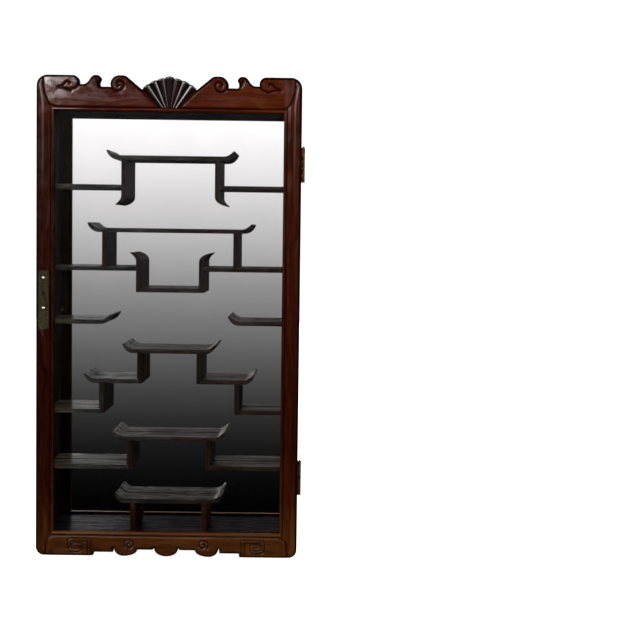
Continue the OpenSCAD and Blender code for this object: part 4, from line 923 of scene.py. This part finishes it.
# The sides are dark within and redder on their outer faces
WITHIN, OUTSIDE = (1, 1, 1), (4.2, 1.5, 0.8)
case_side = wood(
    "case_wood_upright", 2, **DARK, seed=3.3, coat=(0.03, 0.12),
    tone_x=[(-208, OUTSIDE), (-206, OUTSIDE), (-204, WITHIN), (204, WITHIN), (206, OUTSIDE), (208, OUTSIDE)])
# The top and floor boards' tone stops paint light: lighter and bluer toward the left.
case_flat = wood(
    "case_wood_level", 0, **DARK, seed=5.6, across=300.0, coat=(-0.05, 0.3), rough=(0.2, 0.34),
    tone_x=[(-210, (1.4, 2.0, 3.0)), (-40, (1, 1.1, 1.4)), (210, (1, 1, 1.05))],
    wax_x=[(-210, 0.7), (-60, 0.6), (10, 0.3), (210, 0.3)])
# The shelves' tone stops paint light: a painted highlight toward their left ends and more light on the lower
# shelves; dim_y paints shade toward their backs.
shelf_level = wood(
    "shelf_wood_level", 0, **GREY, seed=6.1, rough=(0.24, 0.36), across=330.0, coat=(-0.08, 0.46),
    tone_x=[(-210, (8, 8.8, 8.5)), (-185, (6, 6.8, 6.6)), (-150, (2.2, 3.2, 3.7)),
            (-110, (1.2, 1.8, 2.2)), (0, (1, 1.05, 1)), (210, (1.3, 1, 0.7))],
    tone_z=[(-735, (1.5, 1.4, 1.3)), (-400, (1.5, 1.4, 1.3)), (-250, (0.9, 0.9, 0.9)), (25, (0.8, 0.8, 0.8))],
    wax_x=[(-210, 0.9), (-100, 1.1), (0, 0.8), (210, 0.6)],
    wax_z=[(-735, 0.6), (-640, 0.7), (-480, 1.0), (25, 1.0)], dim_y=(-16, -11))
shelf_upright = wood(
    "shelf_wood_upright", 2, **GREY, seed=8.8, coat=(0.03, 0.14),
    tone_z=[(-735, (2.2, 0.7, 0.6)), (-640, (2, 0.8, 0.6)), (-560, (1.2, 1.1, 0.9)),
            (-380, (1.3, 0.9, 0.7)), (-200, (0.9, 0.75, 0.65)), (25, (0.75, 0.7, 0.65))])
panel = wood("panel_wood", 2, **PALE, seed=0.7, rough=(0.55, 0.75), coat=(0.0, 0.02))

brass = metal("brass", (0.2, 0.13, 0.05), (0.46, 0.33, 0.15))
# Brass for the lock's case and keeper: duller, and darkened far below the other brass as painted shade
shaded_dull_brass = metal("shaded_dull_brass", (0.004, 0.003, 0.0016), (0.024, 0.017, 0.008), (0.5, 0.7), 0.6)
hinge_brass = metal("hinge_brass", (0.028, 0.009, 0.003), (0.13, 0.045, 0.013), (0.35, 0.55), 0.8)
steel = metal("steel", (0.28, 0.28, 0.29), (0.5, 0.5, 0.51), spots=320)
nickel = metal("plate_screw_metal", (0.16, 0.13, 0.09), (0.5, 0.44, 0.36), (0.18, 0.34), spots=500)
old_brass = plate_metal("old_brass")
mirror = mirror_glass("mirror")
glass = pane_glass("glass")


# ------------------------------------------------------------------ the pieces

for piece, node, body, mat in (
        (crest, "crest_rail", "door", crest_wood), (apron, "apron_rail", "door", apron_wood),
        (left, "stile_left", "door", stile_wood), (right, "stile_right", "door", stile_wood),
        (shell, "shell_carving", "door", shell_wood)):
    piece.data.materials.append(mat)
    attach(piece, body)
    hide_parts(node)


def dress(names, mat, width=0.0):
    """Gives CAD nodes their material and, for a width in mm, softened edges."""
    for name in names:
        node = NODES[name]
        node.data.materials.clear()
        node.data.materials.append(mat)
        if width:
            weld = node.modifiers.new("weld", "WELD")
            weld.merge_threshold = 1e-5
            soft = node.modifiers.new("soft_edges", "BEVEL")
            soft.width = width * MM
            soft.segments = 2
            soft.limit_method = "ANGLE"
            soft.angle_limit = math.radians(42)
            soft.harden_normals = False
            node.modifiers.new("even_normals", "WEIGHTED_NORMAL").keep_sharp = False
            for polygon in node.data.polygons:
                polygon.use_smooth = True


LEVEL = [n for n in NODES if n.endswith("shelf") or "_shelf_" in n or n == "cup_floor"]
UPRIGHT = [n for n in NODES if "_post_" in n or "_leg_" in n]
dress(LEVEL, shelf_level, 0.7)
dress(UPRIGHT, shelf_upright, 0.6)
dress(["side_left", "side_right"], case_side, 0.6)
dress(["top_board", "floor_board"], case_flat, 0.5)
dress(["back_panel"], panel, 0.3)
dress(["mirror_plate"], mirror)
dress(["glass_pane"], glass)
dress(["glazing_beads"], bead_wood, 0.3)
dress(["lock_plate"], old_brass, 0.35)
dress(["lock_plate_screws"], nickel)
dress(["lock_case", "lock_keeper"], shaded_dull_brass, 0.15)
dress(["hinge_leaves_carcass", "hinge_leaves_door"], hinge_brass, 0.15)
dress(["hinge_pins"], hinge_brass)
dress(["carcass_edge_screws", "door_back_screws"], brass)
dress(["lock_bolt", "hanging_plates"], steel, 0.15)
dress(["hanging_screws", "panel_pins"], steel)


# ------------------------------------------------------------------ stage, light, camera

FLOOR_HALF, FLOOR_GAP = 6.0, 1.0      # half the floor's side in metres, and mm under the feet


def put_floor():
    """A pale floor just under the feet, which neither gloss nor soft light sees."""
    mesh = bpy.data.meshes.new("floor")
    corners = [(x * FLOOR_HALF, y * FLOOR_HALF, 0) for x, y in ((-1, -1), (1, -1), (1, 1), (-1, 1))]
    mesh.from_pydata(corners, [], [(0, 1, 2, 3)])
    floor = bpy.data.objects.new("floor", mesh)
    bpy.context.scene.collection.objects.link(floor)
    floor.location.z = -(FEET_Z + FLOOR_GAP) * MM
    n = material("floor")
    colour = n.mix(n.noise(n.coords(), 3.0), (0.93, 0.93, 0.93), (0.96, 0.96, 0.96))
    mesh.materials.append(n.finish(n.principled(
        Base_Color=colour, Roughness=0.8, Specular_IOR_Level=0.1,
        Emission_Color=(1, 1, 1, 1), Emission_Strength=0.95)))
    floor.visible_glossy = False
    floor.visible_diffuse = False


# The room that gloss and mirror see: white above, falling to black near the floor.
# Stops are (elevation in degrees, linear brightness).
ROOM = [(-10.5, 0.001), (-9.6, 0.004), (-8.4, 0.012), (-7.4, 0.03), (-6.2, 0.07), (-4.9, 0.14),
        (-3.5, 0.24), (-2.2, 0.36), (-1.0, 0.53), (0.3, 0.72), (1.4, 0.9), (2.6, 1.1), (4.0, 1.3),
        (12.0, 1.3), (40.0, 0.5), (90.0, 0.35)]
LOWEST = -12
# Softboxes that gloss alone sees: azimuth to the viewer's left and elevation, inner and outer
# radius, all in degrees, and brightness
SOFTBOXES = [(14.5, 10.0, 2.0, 5.0, 66.0), (48.0, 40.0, 16.0, 34.0, 20.0), (-52.0, 25.0, 10.0, 22.0, 10.0)]


def light_room():
    """The world: white to the camera, the room to gloss, and a soft fill to all else."""
    n = Nodes(bpy.data.worlds.new("room"))
    toward = n.coords("Generated")
    low = math.sin(math.radians(LOWEST))
    top = max(value for _, value in ROOM)
    shade = n.ramp(n.span(n.split(toward)["Z"], low, 1, 0, 1), [
        ((math.sin(math.radians(angle)) - low) / (1 - low), (value / top,) * 3) for angle, value in ROOM])
    strength = top
    for azimuth, elevation, inner, outer, power in SOFTBOXES:
        a, e = math.radians(azimuth), math.radians(elevation)
        middle = (-math.sin(a) * math.cos(e), -math.cos(a) * math.cos(e), math.sin(e))
        facing = n.add("ShaderNodeVectorMath", operation="DOT_PRODUCT")
        n.put(facing.inputs[0], toward)
        n.put(facing.inputs[1], middle)
        glow = n.span(facing.outputs["Value"], math.cos(math.radians(outer)), math.cos(math.radians(inner)),
                      0, power)
        strength = n.math("ADD", glow, strength)

    def background(colour, power):
        return n.add("ShaderNodeBackground", i_Color=colour, i_Strength=power).outputs[0]

    ray = n.add("ShaderNodeLightPath").outputs
    seen = n.blend(ray["Is Glossy Ray"], background((0.96, 0.98, 1, 1), 0.75), background(shade, strength))
    final = n.blend(ray["Is Camera Ray"], seen, background((1, 1, 1, 1), 1.15))
    bpy.context.scene.world = n.finish(final, "World")


def put_light(name, place, size, watts):
    """A rectangular light at a place in metres, turned to the case, which gloss doesn't see."""
    light = bpy.data.lights.new(name, "AREA")
    light.shape = "RECTANGLE"
    light.size, light.size_y = size
    light.energy = watts
    lamp = bpy.data.objects.new(name, light)
    bpy.context.scene.collection.objects.link(lamp)
    lamp.location = place
    lamp.rotation_euler = (Vector((0, 0, -0.3)) - Vector(place)).to_track_quat("-Z", "Y").to_euler()
    lamp.visible_glossy = False


# The photograph's viewpoint: place in mm, then yaw, pitch and roll in degrees, and the focal
# length in pixels of a frame 640 wide
CAMERA_AT, CAMERA_TURN, FOCAL = (237.27, -2425.48, -212.07), (0.0806, -3.4822, 0.7809), 1477.4
FRAME_PX = 640
SENSOR_W = 36


def put_camera():
    yaw, pitch, roll = (math.radians(a) for a in CAMERA_TURN)
    ahead = Vector((math.sin(yaw) * math.cos(pitch), math.cos(yaw) * math.cos(pitch), math.sin(pitch)))
    level_right = Vector((math.cos(yaw), -math.sin(yaw), 0))
    level_up = level_right.cross(ahead)
    rightward = level_right * math.cos(roll) + level_up * math.sin(roll)
    upward = level_up * math.cos(roll) - level_right * math.sin(roll)
    lens = bpy.data.cameras.new("camera")
    lens.sensor_width = SENSOR_W
    lens.lens = FOCAL / FRAME_PX * SENSOR_W
    lens.clip_start = 0.05
    camera = bpy.data.objects.new("camera", lens)
    bpy.context.scene.collection.objects.link(camera)
    axes = Matrix((rightward, upward, -ahead)).transposed().to_4x4()
    camera.matrix_world = Matrix.Translation(Vector(CAMERA_AT) * MM) @ axes
    bpy.context.scene.camera = camera


put_floor()
light_room()
put_light("key", (-0.9, -1.6, 1.5), (0.9, 0.7), 22)
put_light("rim", (1.6, -1.1, 0.9), (0.6, 0.9), 9)
put_camera()
bpy.context.scene.view_settings.view_transform = "Standard"
